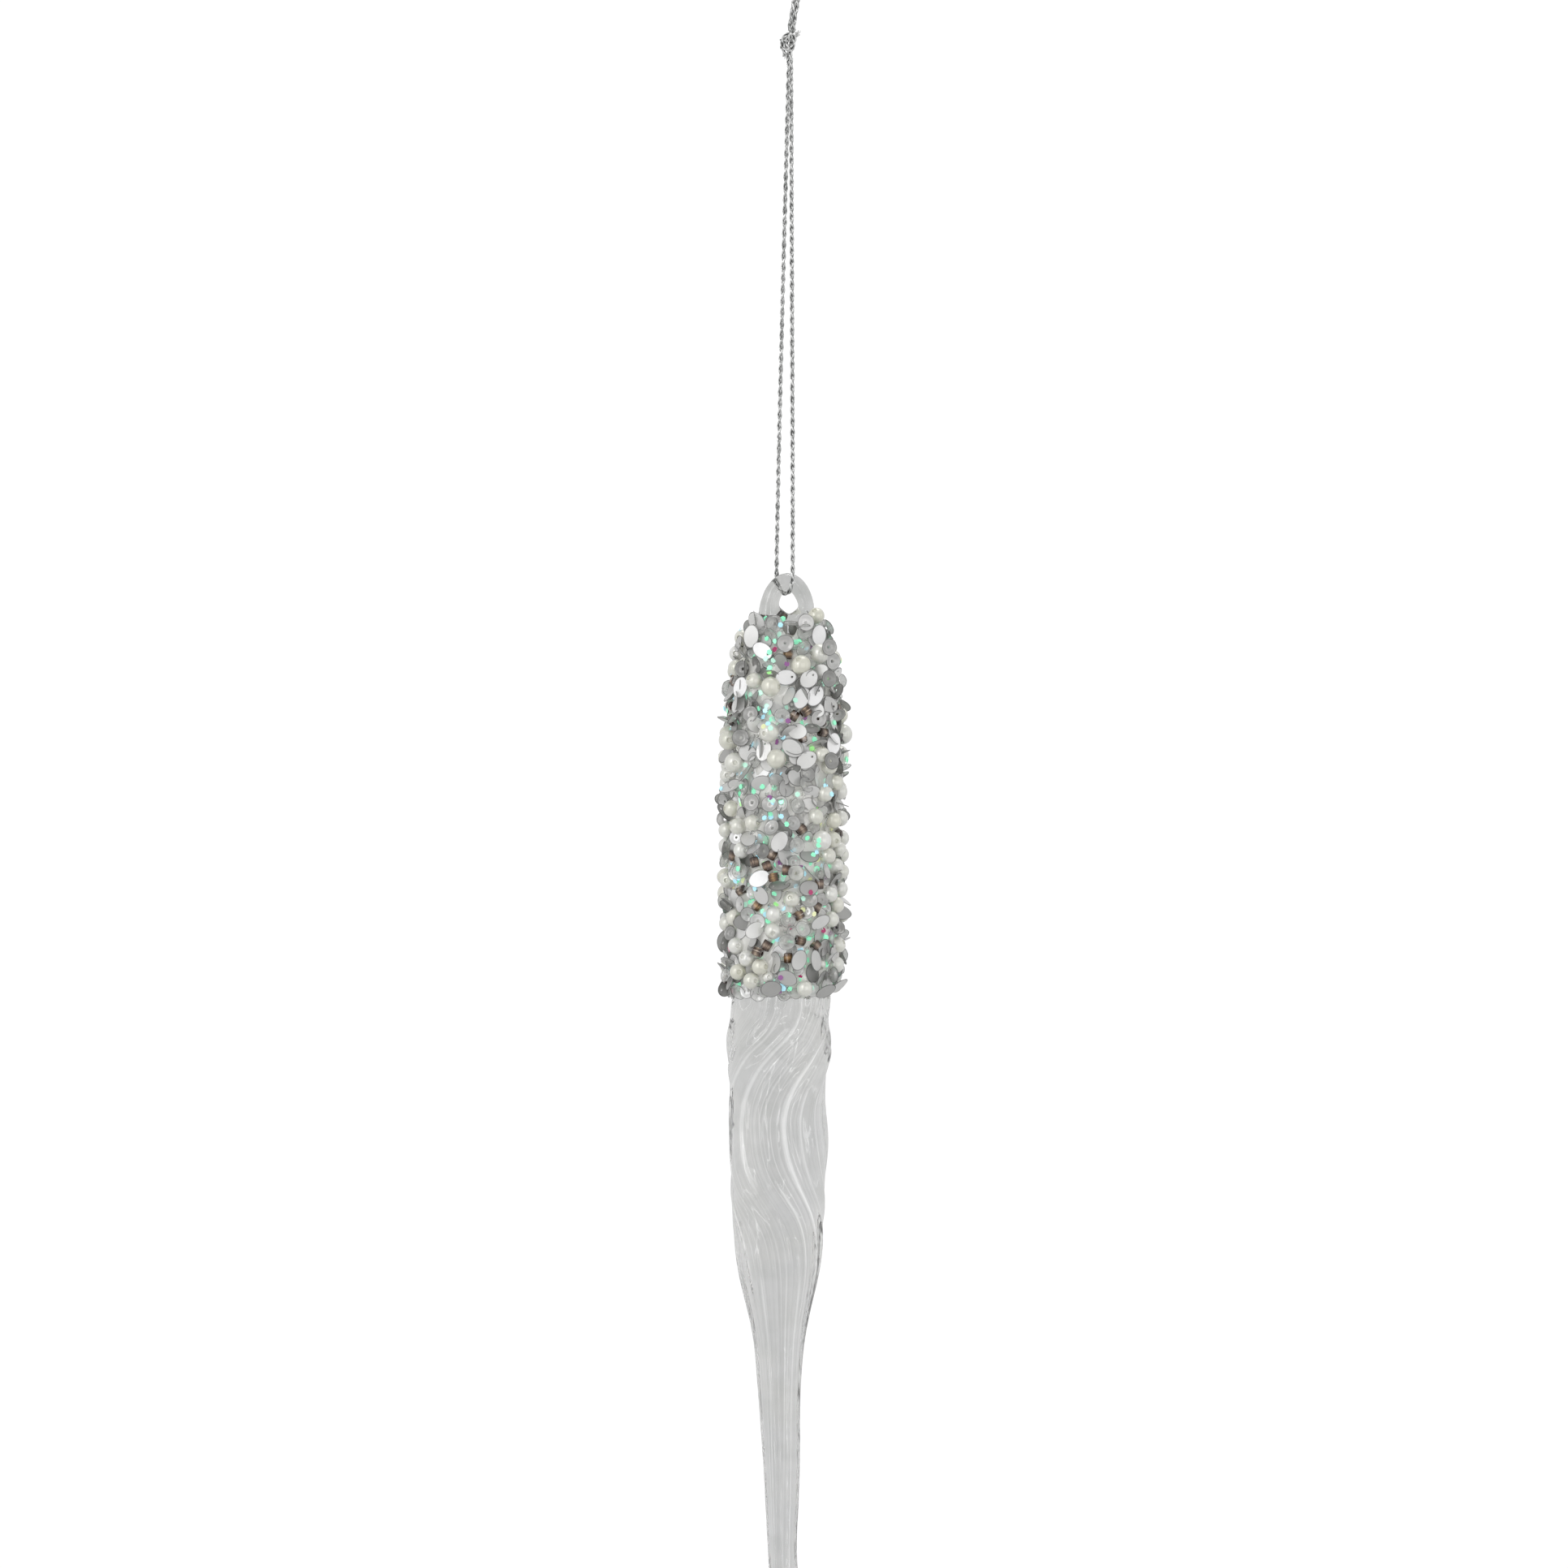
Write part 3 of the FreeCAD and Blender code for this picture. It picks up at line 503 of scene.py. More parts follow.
def pearl_material():
    """Ivory pearl lacquer, with faint blotches and a polished coat."""
    m = Nodes("ivory_pearl")
    ivory = ((0.0, (0.8, 0.79, 0.69)), (0.5, (0.83, 0.83, 0.77)), (1.0, (0.88, 0.88, 0.85)))
    blotch = m.noise(m.place(), 330.0, 2.0)
    veil = m.ramp(blotch, (0.3, (0.93, 0.94, 0.91)), (0.6, 1.0))
    m.put(Metallic=0.3, Coat_Weight=0.9, Coat_Roughness=0.12, Sheen_Weight=0.2, Sheen_Roughness=0.4)
    m.put(Subsurface_Weight=0.1, Subsurface_Radius=(0.0006, 0.0006, 0.0005), Subsurface_Scale=1.0)
    m.put(Base_Color=m.times(m.ramp(m.stored("tone"), *ivory), veil), Roughness=m.span(blotch, 0.24, 0.42))
    m.bump(m.noise(m.place(), 900.0, 2.0), 0.06, 0.05)
    return m.owner


def rim_line(m, dark, width=0.05):
    """A thin dark line round the edge of a piece of film."""
    flat = m.node("VectorMath", m.place("local"), (1.0, 1.0, 0.0), operation="MULTIPLY")
    out = m.node("VectorMath", flat.outputs["Vector"], operation="LENGTH")
    return m.ramp(out.outputs["Value"], (1.0 - 2.2 * width, 1.0), (1.0 - width, dark))


def mirror_material(name, dark, light, metal):
    """Metallised plastic film: a soft mirror with a haze, hair scratches and a dark cut edge; each piece's
    tone, from dark grey to near white, is a painted reflection.
    """
    m = Nodes(name)
    haze = m.noise(m.place(), 420.0)
    # painted reflection: each piece's tone sets how dark or white it shows
    tone = m.ramp(m.stored("tone"), (0.0, dark), (0.75, light), (1.0, 0.98))
    film = m.times(tone, m.ramp(haze, (0.3, 0.95), (0.6, 1.0)))
    m.put(Metallic=metal, Base_Color=m.times(film, rim_line(m, 0.38)))
    m.put(Roughness=m.span(haze, 0.3, 0.38, 0.3, 0.7))
    m.bump(m.noise(m.stretched(m.place("local"), (1.0, 14.0, 1.0)), 1.0, 2.0), 0.015, 0.03)
    return m.owner


def clear_sequin_material():
    """Clear film with a faint silver cast and a grey cut edge."""
    m = Nodes("clear_sequin")
    haze = m.noise(m.place(), 500.0)
    film = m.ramp(haze, (0.3, (0.82, 0.83, 0.81)), (0.7, (0.95, 0.955, 0.94)))
    m.put(Transmission_Weight=0.7, IOR=1.3, Coat_Weight=0.5, Roughness=m.span(haze, 0.08, 0.2))
    m.put(Base_Color=m.times(film, rim_line(m, 0.55)))
    m.bump(haze, 0.03, 0.02)
    return m.owner


def bronze_material():
    """Brown glass with a bright lining: dark at the ends and corners, golden along the middle, partly the
    lining and partly a painted glint; its stripes are painted facet reflections.
    """
    m = Nodes("bronze_glass")
    local = m.place("local")
    cloud = m.noise(local, 2.2)
    along = m.math("ABSOLUTE", m.node("SeparateXYZ", local).outputs["Z"])
    middle = m.math("SUBTRACT", 0.75, m.math("MULTIPLY", along, 0.75))
    middle = m.math("ADD", middle, m.math("MULTIPLY", cloud, 0.4))
    # partly the bright lining, partly a painted glint along the middle; darker at the ends
    lining_and_glint = m.ramp(middle, (0.3, (0.06, 0.036, 0.028)), (0.6, (0.17, 0.125, 0.098)), (0.9, (0.5, 0.42, 0.35)))
    glass = ((0.0, (0.8, 0.62, 0.52)), (0.8, (1.0, 0.97, 0.93)), (1.0, (1.0, 0.72, 0.38)))
    stripe = m.noise(m.stretched(local, (2.6, 2.6, 0.12)), 1.0, 1.0)
    # painted reflection: lighter and darker stripes along the bead for its facets
    facets = m.ramp(stripe, (0.36, (0.35, 0.33, 0.31)), (0.5, (0.85, 0.84, 0.83)), (0.62, 1.0))
    m.put(Metallic=0.2, Coat_Weight=0.9, Coat_Roughness=0.04, Roughness=m.span(cloud, 0.12, 0.3))
    m.put(Base_Color=m.times(m.times(lining_and_glint, m.ramp(m.stored("tone"), *glass)), facets))
    m.bump(cloud, 0.1, 0.05)
    return m.owner


def flake_material():
    """Iridescent glitter: each flake has one colour, with small shifts over it, and a painted glow in that
    colour for its bright reflection.
    """
    m = Nodes("iridescent_flake")
    shift = m.noise(m.place("local"), 1.6, 2.0)
    foil = m.times(m.stored("tint", "Color"), m.ramp(shift, (0.3, (0.8, 0.92, 0.88)), (0.65, 1.0)))
    m.put(Metallic=0.1, Coat_Weight=0.8, Coat_Roughness=0.05, Roughness=m.span(shift, 0.16, 0.32))
    # painted light: the flake glows in its own colour, though it is no lamp
    m.put(Base_Color=foil, Emission_Color=foil, Emission_Strength=0.4)
    m.bump(shift, 0.05, 0.03)
    return m.owner


# ---- icicle

# How far the flutes have turned: depth below the hook and angle in degrees.
FLOW = [
    (190, 10), (198, 12), (203, 8), (211, -42), (218, -68), (224, -70), (231, -59), (241, -15), (248, -6),
    (360, -6),
]
GUESS_X = -2.5
AROUND = 264
DOME_COLUMNS = 72
EYE_SIDES = 32
EYE_STEP = 0.35
TIP_ROWS = (1.15, 0.85, 0.55, 0.3, 0.12)
FOLD_START = (184, 206)
ROW_STEP = 0.9
FINE_STEP = 0.45
SHANK_TOP = 134.0
DOME = (129.3, 139.0)
TURN_TOP = 196.0
TURN_BOTTOM = 264.0
RIDGES = 24
RELIEF = 0.7
FAR_SHARE = 0.2

# The band of the eye, from one leg over the top to the other: x, z and radius.
EYE_BAND = [
    (-5.6, -135.5, 2.4), (-5.8, -130, 2.3), (-5.75, -127.4, 2.12), (-5.55, -125.3, 1.93),
    (-4.8, -123.2, 1.72), (-3.55, -121.75, 1.64), (-2.25, -121.25, 1.64), (-0.95, -121.7, 1.6),
    (0.35, -123.1, 1.5), (1.25, -125.3, 1.46), (1.4, -127.6, 1.6), (1.3, -130, 2), (1.2, -135.5, 2.3),
]
# The web that closes the eye's hole below, in a V between the legs: x and z.
EYE_WEB = [(-5.0, -127.3), (-3.5, -128.55), (-1.9, -129.55), (-0.4, -128.65), (1.1, -127.4)]
WEB_RADIUS = 1.8

# The sleeve's axis and radius, and the notch in the glue's upper rim: depth, and cosines of place and spread.
SLEEVE_X = -2.9
SLEEVE_RADIUS = 11.5
NOTCH_DIP = 3.2
NOTCH_SIDE = 0.2
NOTCH_SPREAD = 0.28


def reach(tree, centre, angle):
    """How far a surface lies from a centre in a level direction, in millimetres."""
    out = Vector((cos(angle), sin(angle), 0))
    return (tree.ray_cast(centre + out * (FAR_OUT * MM), -out)[0] - centre).length / MM


def outline(tree, depth, angles, guess):
    """The middle and the radii of a CAD surface at one depth, in millimetres."""
    level = -depth * MM
    ends = []
    for way in (-1, 1):
        start = Vector((guess * MM + way * (FAR_OUT * MM), 0, level))
        ends.append(tree.ray_cast(start, Vector((-way, 0, 0)))[0].x)
    middle = sum(ends) / 2
    return middle / MM, np.array([reach(tree, Vector((middle, 0, level)), angle) for angle in angles])


def flow_angle(depth):
    """How far the flutes have turned at a depth, in radians."""
    depths, turns = zip(*FLOW)
    return radians(float(np.interp(depth, depths, turns)))


def smooth_flow(depth):
    """The turn of the flutes, with the corners of its stations rounded."""
    window = (-3.0, -1.5, 0.0, 1.5, 3.0)
    return sum(flow_angle(depth + w) for w in window) / len(window)


# The folds in front: angle and width in degrees, height, and the depths where each begins and ends.
MAIN_FOLDS = [
    (-18, 6, 0.8, 198, 264), (-75, 6, 0.65, 192, 246), (-43, 5, 0.7, 224, 268), (-100, 5, 0.5, 190, 244),
    (-130, 6, 0.5, 200, 264), (2, 5, 0.5, 205, 256), (22, 5, 0.45, 190, 264), (-60, 5, -0.45, 204, 262),
    (-55, 5, 0.5, 240, 345), (-115, 5, 0.45, 240, 345), (-85, 4, -0.35, 246, 345),
]


def make_ridges():
    """The folds and grooves: angle, width, height, where each begins and ends, and how steep it is."""
    draw = random.Random(11)
    ridges = []
    for number in range(RIDGES):
        angle = radians(360.0 * number / RIDGES + draw.uniform(-4, 4))
        width = radians(draw.uniform(2.5, 6.5))
        height = draw.choice((1, 1, -0.6)) * draw.uniform(0.06, 0.16)
        first = draw.uniform(186, 285)
        last = first + draw.uniform(25, 110)
        ridges.append((angle, width, height, first, last, draw.uniform(0.5, 0.85)))
    for angle, width, height, first, last in MAIN_FOLDS:
        ridges.append((radians(angle), radians(width), height, first, last, 0.55))
    return ridges


def ridge_height(ridges, angles, depth):
    """The height of all folds together: each is steeper on one side than on the other."""
    total = np.zeros(len(angles))
    for angle, width, height, first, last, steep in ridges:
        share = smoothstep(first, first + 14, depth) * (1 - smoothstep(last - 18, last, depth))
        u = (angles - angle + pi) % (2 * pi) - pi
        side = np.where(u > 0, width * steep, width)
        total += height * share * np.exp(-np.abs(u / side) ** 1.6)
    return total


def nearness(y):
    """How strongly the folds show: fully in front, weakly behind."""
    return FAR_SHARE + (1 - FAR_SHARE) * smoothstep(4.0, -2.0, y)


def shank_mesh(tree):
    """The icicle below its dome, on the CAD shape, with its folds."""
    angles = whole_turn(AROUND)
    ridges = make_ridges()
    lowest = -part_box("icicle")[0].z / MM
    depths = [*np.arange(SHANK_TOP, TURN_TOP, ROW_STEP), *np.arange(TURN_TOP, TURN_BOTTOM, FINE_STEP)]
    depths += [*np.arange(TURN_BOTTOM, lowest - 1.2, ROW_STEP), *(lowest - d for d in TIP_ROWS)]
    rows, middle = [], GUESS_X
    for depth in depths:
        middle, radii = outline(tree, depth, angles, middle)
        fade = smoothstep(*FOLD_START, depth) * (1 - 0.9 * smoothstep(318, 350, depth))
        scale = min(1.0, radii.mean() / 6.5)
        folds = ridge_height(ridges, angles - smooth_flow(depth), depth)
        radii = radii + RELIEF * nearness(radii * np.sin(angles)) * folds * fade * scale
        rows.append(ring_of(middle, radii, angles, depth))
    body = np.concatenate(rows)
    ends = np.array([[rows[0][:, 0].mean(), 0, -SHANK_TOP], [middle, 0, -lowest]])
    top, last = len(body), len(body) - AROUND
    faces = ring_faces(len(depths), AROUND)
    faces += [[top, (k + 1) % AROUND, k] for k in range(AROUND)]
    faces += [[top + 1, last + k, last + (k + 1) % AROUND] for k in range(AROUND)]
    return np.concatenate([body, ends]), [f[::-1] for f in faces]


def dome_mesh(tree, top, bottom):
    """The shoulder under the eye, from the CAD shape, closed at both ends."""
    angles = whole_turn(DOME_COLUMNS)
    rows, middle = [], GUESS_X
    for depth in np.arange(top, bottom, 0.5):
        middle, radii = outline(tree, depth, angles, middle)
        rows.append(ring_of(middle, radii, angles, depth))
    return capped_rings(rows)


def apply_modifier(thing, kind, **settings):
    modifier = thing.modifiers.new(kind.lower(), kind)
    for key, value in settings.items():
        setattr(modifier, key, value)
    graph = bpy.context.evaluated_depsgraph_get()
    mesh = bpy.data.meshes.new_from_object(thing.evaluated_get(graph))
    thing.modifiers.clear()
    old = thing.data
    thing.data = mesh
    bpy.data.meshes.remove(old)


def outwards(thing):
    """Turns every face of a closed mesh outwards."""
    work = bmesh.new()
    work.from_mesh(thing.data)
    bmesh.ops.recalc_face_normals(work, faces=work.faces)
    work.to_mesh(thing.data)
    work.free()


def make_icicle(material):
    tree = cad_tree("icicle")
    line, along = evenly(spline_line([(x, 0.0, z) for x, z, _ in EYE_BAND]), EYE_STEP)
    shares = np.linspace(0, along[-1], len(EYE_BAND))
    band = tube(line, np.interp(along, shares, [r for _, _, r in EYE_BAND]), sides=EYE_SIDES)
    web_line = evenly(spline_line([(x, 0.0, z) for x, z in EYE_WEB]), EYE_STEP)[0]
    web = tube(web_line, WEB_RADIUS, sides=EYE_SIDES)
    eye = object_from("icicle_eye", *joined([band, web, dome_mesh(tree, *DOME)]), material)
    outwards(eye)
    apply_modifier(eye, "REMESH", mode="VOXEL", voxel_size=0.24 * MM)
    apply_modifier(eye, "SMOOTH", factor=0.6, iterations=26)
    icicle = object_from("icicle_body", *shank_mesh(tree), material)
    outwards(icicle)
    apply_modifier(icicle, "BOOLEAN", operation="UNION", object=eye, solver="EXACT")
    bpy.data.objects.remove(eye)
    mesh = icicle.data
    mesh.polygons.foreach_set("use_smooth", [True] * len(mesh.polygons))
    places = np.array([v.co for v in mesh.vertices]) / MM
    turned = np.array([smooth_flow(-z) for z in places[:, 2]])
    own = np.arctan2(places[:, 1], places[:, 0] + 3.2) - turned
    point_attribute(mesh, "flow", "FLOAT_VECTOR", np.stack([np.cos(own), np.sin(own), places[:, 2] / 20], 1))
    near = nearness(places[:, 1])
    # body: how strongly the painted highlight and shade lines show, full in front, weak behind and on the eye
    point_attribute(mesh, "body", "FLOAT", near * smoothstep(128, 150, -places[:, 2]))
    # crest: the fold crests, where the painted highlight lines run
    crest = ridge_height(make_ridges(), own, -places[:, 2]) * smoothstep(*FOLD_START, -places[:, 2])
    point_attribute(mesh, "crest", "FLOAT", np.clip(crest * near / 0.6, 0, 1))
    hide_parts("icicle")
    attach(icicle, "icicle")


GLUE_COLUMNS = 180
GLUE_ROWS = 150


def radii_of(tree, depths, angles):
    """How far a CAD surface lies from the sleeve's axis at some depths and angles."""
    return np.array([reach(tree, Vector((SLEEVE_X, 0, -d)) * MM, a) for d, a in zip(depths, angles)])


def make_glue(material):
    """The cloudy coat of glue between the beads: lumpy, thinning out on to the icicle at both ends."""
    tree, core = cad_tree("glue_coat"), cad_tree("icicle")
    low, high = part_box("glue_coat")
    angles = whole_turn(GLUE_COLUMNS)
    dip = NOTCH_DIP * np.exp(-((np.cos(angles) - NOTCH_SIDE) / NOTCH_SPREAD) ** 2)
    tops, bottom = -high.z / MM + 0.15 + dip, -low.z / MM - 0.15
    draw = np.random.default_rng(5)
    waves = [(draw.integers(2, 22), draw.uniform(0.1, 1.4), draw.uniform(0, 6.3)) for _ in range(26)]
    wave = 0.5 * np.sin(3 * angles) + 0.3 * np.sin(7 * angles)
    outer, inner = [], []
    for share in np.linspace(0, 1, GLUE_ROWS):
        depth = tops + (bottom - tops) * share
        radii, under = radii_of(tree, depth, angles), radii_of(core, depth, angles)
        lumps = sum(np.sin(n * angles + k * depth + p) for n, k, p in waves) / len(waves) ** 0.5
        inside = smoothstep(tops, tops + 3, depth) * (1 - smoothstep(bottom - 3, bottom, depth))
        ending = smoothstep(bottom - 3.2, bottom, depth + wave) + 1 - smoothstep(tops, tops + 4, depth + wave)
        rise = radii + 0.28 * inside * lumps
        rise = rise + (np.minimum(rise, under + 0.04) - rise) * np.clip(ending, 0, 1)
        outer.append(ring_of(SLEEVE_X, rise, angles, depth))
        inner.append(ring_of(SLEEVE_X, np.minimum(under, rise) - 0.05, angles, depth))
    glue = object_from("glue", *closed_rings(outer + inner[::-1]), material)
    outwards(glue)
    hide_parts("glue_coat")
    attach(glue, "icicle")
    return glue


# ---- beads

def islands(node):
    """The points of each separate solid of a CAD node, in millimetres."""
    mesh = frame["nodes"][node].data
    places = np.array([v.co for v in mesh.vertices]) / MM
    _, first, same = np.unique(np.round(places, 3), axis=0, return_index=True, return_inverse=True)
    a, b = same.ravel()[np.array([e.vertices for e in mesh.edges])].T
    label = np.arange(len(first))
    while True:
        lowest = np.minimum(label[a], label[b])
        new = label.copy()
        np.minimum.at(new, a, lowest)
        np.minimum.at(new, b, lowest)
        new = new[new]
        if (new == label).all():
            break
        label = new
    welded = places[first]
    return [welded[label == name] for name in np.unique(label)]


def own_axes(points, odd_one):
    """A bead's middle and its axes, longest first; with odd_one, it is round about the last."""
    middle = (points.min(0) + points.max(0)) / 2 if len(points) < 8 else points.mean(0)
    values, vectors = np.linalg.eigh(np.cov((points - middle).T))
    order = [2, 1, 0]
    if odd_one and abs(values[2] - values[1]) > abs(values[1] - values[0]):
        order = [1, 0, 2]
    axes = vectors[:, order].T
    if np.linalg.det(axes) < 0:
        axes[1] = -axes[1]
    return middle, axes


class Heap:
    """Many small shapes gathered into one mesh, each with its own tone, colour and material."""

    def __init__(self):
        self.parts = []

    def add(self, shape, middle, axes, tone=0.5, tint=(1, 1, 1), kind=0):
        points, faces = shape
        local = points / np.abs(points).max(0)
        self.parts.append((middle + points @ axes, faces, local, tone, (*tint, 1.0), kind))

    def build(self, name, materials, smooth=True):
        points, faces, local, tones, tints, kinds = zip(*self.parts)
        thing = object_from(name, *joined(list(zip(points, faces))), materials[0], smooth)
        for extra in materials[1:]:
            thing.data.materials.append(extra)
        counts = [len(p) for p in points]
        thing.data.polygons.foreach_set("material_index", np.repeat(kinds, [len(f) for f in faces]))
        point_attribute(thing.data, "local", "FLOAT_VECTOR", np.concatenate(local))
        point_attribute(thing.data, "tone", "FLOAT", np.repeat(tones, counts))
        point_attribute(thing.data, "tint", "FLOAT_COLOR", np.repeat(tints, counts, axis=0))
        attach(thing, "icicle")
        return thing


def lathe(profile, angles):
    """A closed outline of radius and height turned about Z."""
    return closed_rings([ring_of(0.0, r, angles, -z) for r, z in profile])


def pearl_shape(radius, hole, squash):
    """A pearl with a bored hole, whose rim is rounded, and with slightly flattened ends."""
    edge = asin(hole / radius)
    sweep = np.linspace(edge + 0.1, pi - edge - 0.1, 15)
    outside = [(radius * sin(t), radius * squash * cos(t)) for t in sweep]
    lip = radius * squash * cos(edge)
    mouth = [(0.002, lip - 0.38), (hole * 0.7, lip - 0.42), (hole, lip - 0.3), (hole + 0.02, lip - 0.06)]
    profile = [*mouth, *outside, *[(r, -z) for r, z in mouth[::-1]]]
    return lathe(profile, whole_turn(26))


def cut_bead_shape(radius, length, hole):
    """A six-sided glass tube with ground corners and chamfered ends."""
    corner = radians(6)
    angles = np.concatenate([[k * pi / 3 - corner, k * pi / 3 + corner] for k in range(6)])
    half, cut = length / 2, 0.13
    profile = [
        (hole, half - 0.03), (hole + 0.12, half), (radius - cut, half), (radius, half - cut),
        (radius * 1.02, 0.0), (radius, cut - half), (radius - cut, -half), (hole + 0.12, -half),
        (hole, 0.03 - half), (hole * 0.9, 0.0),
    ]
    return lathe(profile, angles)


FILM_TURN = whole_turn(30)


def film_shape(long, short, hole_place, hole, dish, sheet, rings=5):
    """A thin oval of film with a hole. Dish gives its height by the share of the way out."""
    count = len(FILM_TURN)
    outer = np.stack([long * np.cos(FILM_TURN), short * np.sin(FILM_TURN)], 1)
    inner = np.stack([hole_place + hole * np.cos(FILM_TURN), hole * np.sin(FILM_TURN)], 1)
    upper, lower = [], []
    for share in np.linspace(0, 1, rings):
        flat = inner + (outer - inner) * share
        height = np.broadcast_to(dish(share, flat), count)
        upper.append(np.column_stack([flat, height + sheet / 2]))
        lower.append(np.column_stack([flat, height - sheet / 2]))
    edge = outer * (1 + 0.3 * sheet / norm(outer, axis=1, keepdims=True))
    rows = upper + [np.column_stack([edge, np.broadcast_to(dish(1.0, outer), count)])] + lower[::-1]
    points, faces = closed_rings(rows)
    return points, [f[::-1] for f in faces]


def sequin_shape(draw):
    """A cup sequin: a flat floor with a centre hole, and a flared wall with faint facets."""
    radius = 1.55 * draw.uniform(0.94, 1.02)
    depth = 0.45 * draw.uniform(0.7, 1.25)
    out = radius * (1 + 0.012 * np.cos(8 * FILM_TURN))

    def dish(share, flat):
        return depth * float(smoothstep(0.25, 1.0, share))

    return film_shape(out, out, 0.0, 0.3, dish, 0.11, rings=7)


def paillette_shape(draw):
    """A flat oval or leaf of mirror film, slightly bent, some with a hole near one end."""
    long, short = 2.1 * draw.uniform(0.92, 1.03), 1.5 * draw.uniform(0.94, 1.03)
    pointed = draw.choice((0.0, 0.0, 0.12, 0.22))
    holed = draw.random() < 0.3
    bend = draw.uniform(-0.012, 0.03)
    thin = short * (1 - pointed * np.abs(np.cos(FILM_TURN)) ** 2)
    place, hole = (0.58 * long, 0.22) if holed else (0.0, 0.004)
    return film_shape(long, thin, place, hole, lambda share, flat: bend * flat[:, 0] ** 2 - bend, 0.13)


def flake_shape(radius, sheet):
    """A six-sided flake of glitter with bevelled edges."""
    half = sheet / 2
    profile = [(0.001, half), (radius * 0.93, half), (radius, 0.0), (radius * 0.93, -half), (0.001, -half)]
    return lathe(profile, whole_turn(6))


# The colours of the glitter, each with how common it is.
FLAKE_TINTS = [
    ((0.33, 0.96, 0.62), 34), ((0.5, 0.84, 1.0), 22), ((0.42, 0.95, 0.32), 8), ((0.55, 0.86, 0.72), 20),
    ((0.28, 0.1, 0.28), 6), ((0.4, 0.03, 0.13), 4), ((0.75, 0.74, 0.42), 6),
]


def any_tint(draw):
    return draw.choices(*zip(*FLAKE_TINTS))[0]


# Pieces further forward than this are seen full on, and the filling stays clear of them.
FRONT_Y = -6.0


def make_beads(kinds):
    """Detailed beads in the places and directions of the CAD ones, row by row."""
    draw = random.Random(31)
    placed = []
    for node in sorted(frame["nodes"]):
        kind = node.split("_row_")[0]
        if kind == node:
            continue
        heap = Heap()
        for points in islands(node):
            middle, axes = own_axes(points, kind in ("pearls", "cut_beads"))
            reach = float(norm(points - middle, axis=1).max())
            if kind != "flakes":
                own_size = 1.25 if middle[1] < FRONT_Y else 0.8
                placed.append((middle, reach if kind == "pearls" else own_size))
            # tone: a random shade of colour for pearls and beads, and a painted reflection for silver and
            # mirror films
            tone = draw.random()
            if kind == "pearls":
                heap.add(pearl_shape(reach * 1.01, 0.43, draw.uniform(0.92, 1.0)), middle, axes, tone)
            elif kind == "cut_beads":
                heap.add(cut_bead_shape(0.86, 1.9, 0.4), middle, axes, tone)
            elif kind == "cup_sequins":
                height = (points - middle) @ axes[2]
                outside = norm(np.cross(points - middle, axes[2]), axis=1) > 1.2
                if height[outside].mean() < height[~outside].mean():
                    axes = axes * np.array([[1], [-1], [-1]])
                seat = middle + axes[2] * float(((points - middle) @ axes[2]).min() + 0.08)
                heap.add(sequin_shape(draw), seat, axes, tone, kind=0 if draw.random() < 0.58 else 1)
            elif kind == "paillettes":
                heap.add(paillette_shape(draw), middle, axes, tone)
            else:
                tint = any_tint(draw)
                heap.add(flake_shape(0.56, 0.08), middle, axes, tone, tint)
        materials, slot = kinds[kind]
        piece = heap.build("detail_" + node, materials, smooth=kind not in ("cut_beads", "flakes"))
        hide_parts(node)
    return placed


def chip_shape(draw):
    """A crumb of clear glass."""
    size = draw.uniform(0.28, 0.5)
    profile = [
        (0.001, size), (size * 0.75, size * 0.55), (size, -0.1 * size), (size * 0.6, -0.7 * size),
        (0.001, -size),
    ]
    return lathe(profile, whole_turn(draw.choice((5, 6, 7))))


# The wedge under the eye's hole, which holds no beads: it narrows to a point at its bottom.
NOTCH_X = -1.6
NOTCH_HALF_WIDTH = 1.9
NOTCH_BOTTOM = 132.6
NOTCH_HEIGHT = 4.2


def met_from_outside(tree, axis, angle):
    """Where a level ray towards an axis meets a surface, the normal there, and the way out."""
    out = Vector((cos(angle), sin(angle), 0))
    place, normal, _, _ = tree.ray_cast((axis + out * FAR_OUT) * MM, -out)
    return place, normal, out


class Surface:
    """Finds places on the lumpy outside of the glue, and keeps the filling apart."""

    def __init__(self, glue, placed):
        self.tree = tree_of(glue.data)
        self.centres = np.array([middle for middle, _ in placed])
        self.sizes = np.array([size for _, size in placed])

    def pick(self, draw, top, bottom):
        """A random place and its normal, or nothing where the ray misses the glue."""
        angle = draw.uniform(0, 2 * pi)
        axis = Vector((-2.8, 0, -draw.uniform(top, bottom)))
        place, normal, _ = met_from_outside(self.tree, axis, angle)
        if place is None or (place / MM - axis).length < 3:
            return None
        spot = np.array(place) / MM
        wedge = NOTCH_HALF_WIDTH * min(1.0, (NOTCH_BOTTOM + spot[2]) / NOTCH_HEIGHT)
        if abs(spot[0] - NOTCH_X) < wedge:
            return None
        return spot, np.array(normal)

    def clear_of(self, centre, size, share):
        gaps = norm(self.centres - centre, axis=1)
        return bool((gaps > share * (self.sizes + size)).all())

    def add(self, centre, size):
        self.centres = np.vstack([self.centres, centre])
        self.sizes = np.append(self.sizes, size)


def tilted_axes(normal, tilt, draw):
    """Axes whose last leans from a direction by a tilt in degrees, turned at random."""
    lean = unit(np.cross(normal, [draw.uniform(-1, 1) for _ in range(3)]))
    angle = radians(tilt)
    face = unit(normal * cos(angle) + lean * sin(angle))
    first = unit(np.cross(face, [draw.uniform(-1, 1) for _ in range(3)]))
    return np.array([first, np.cross(face, first), face])


SLEEVE_SPAN = (127.4, 198.6)
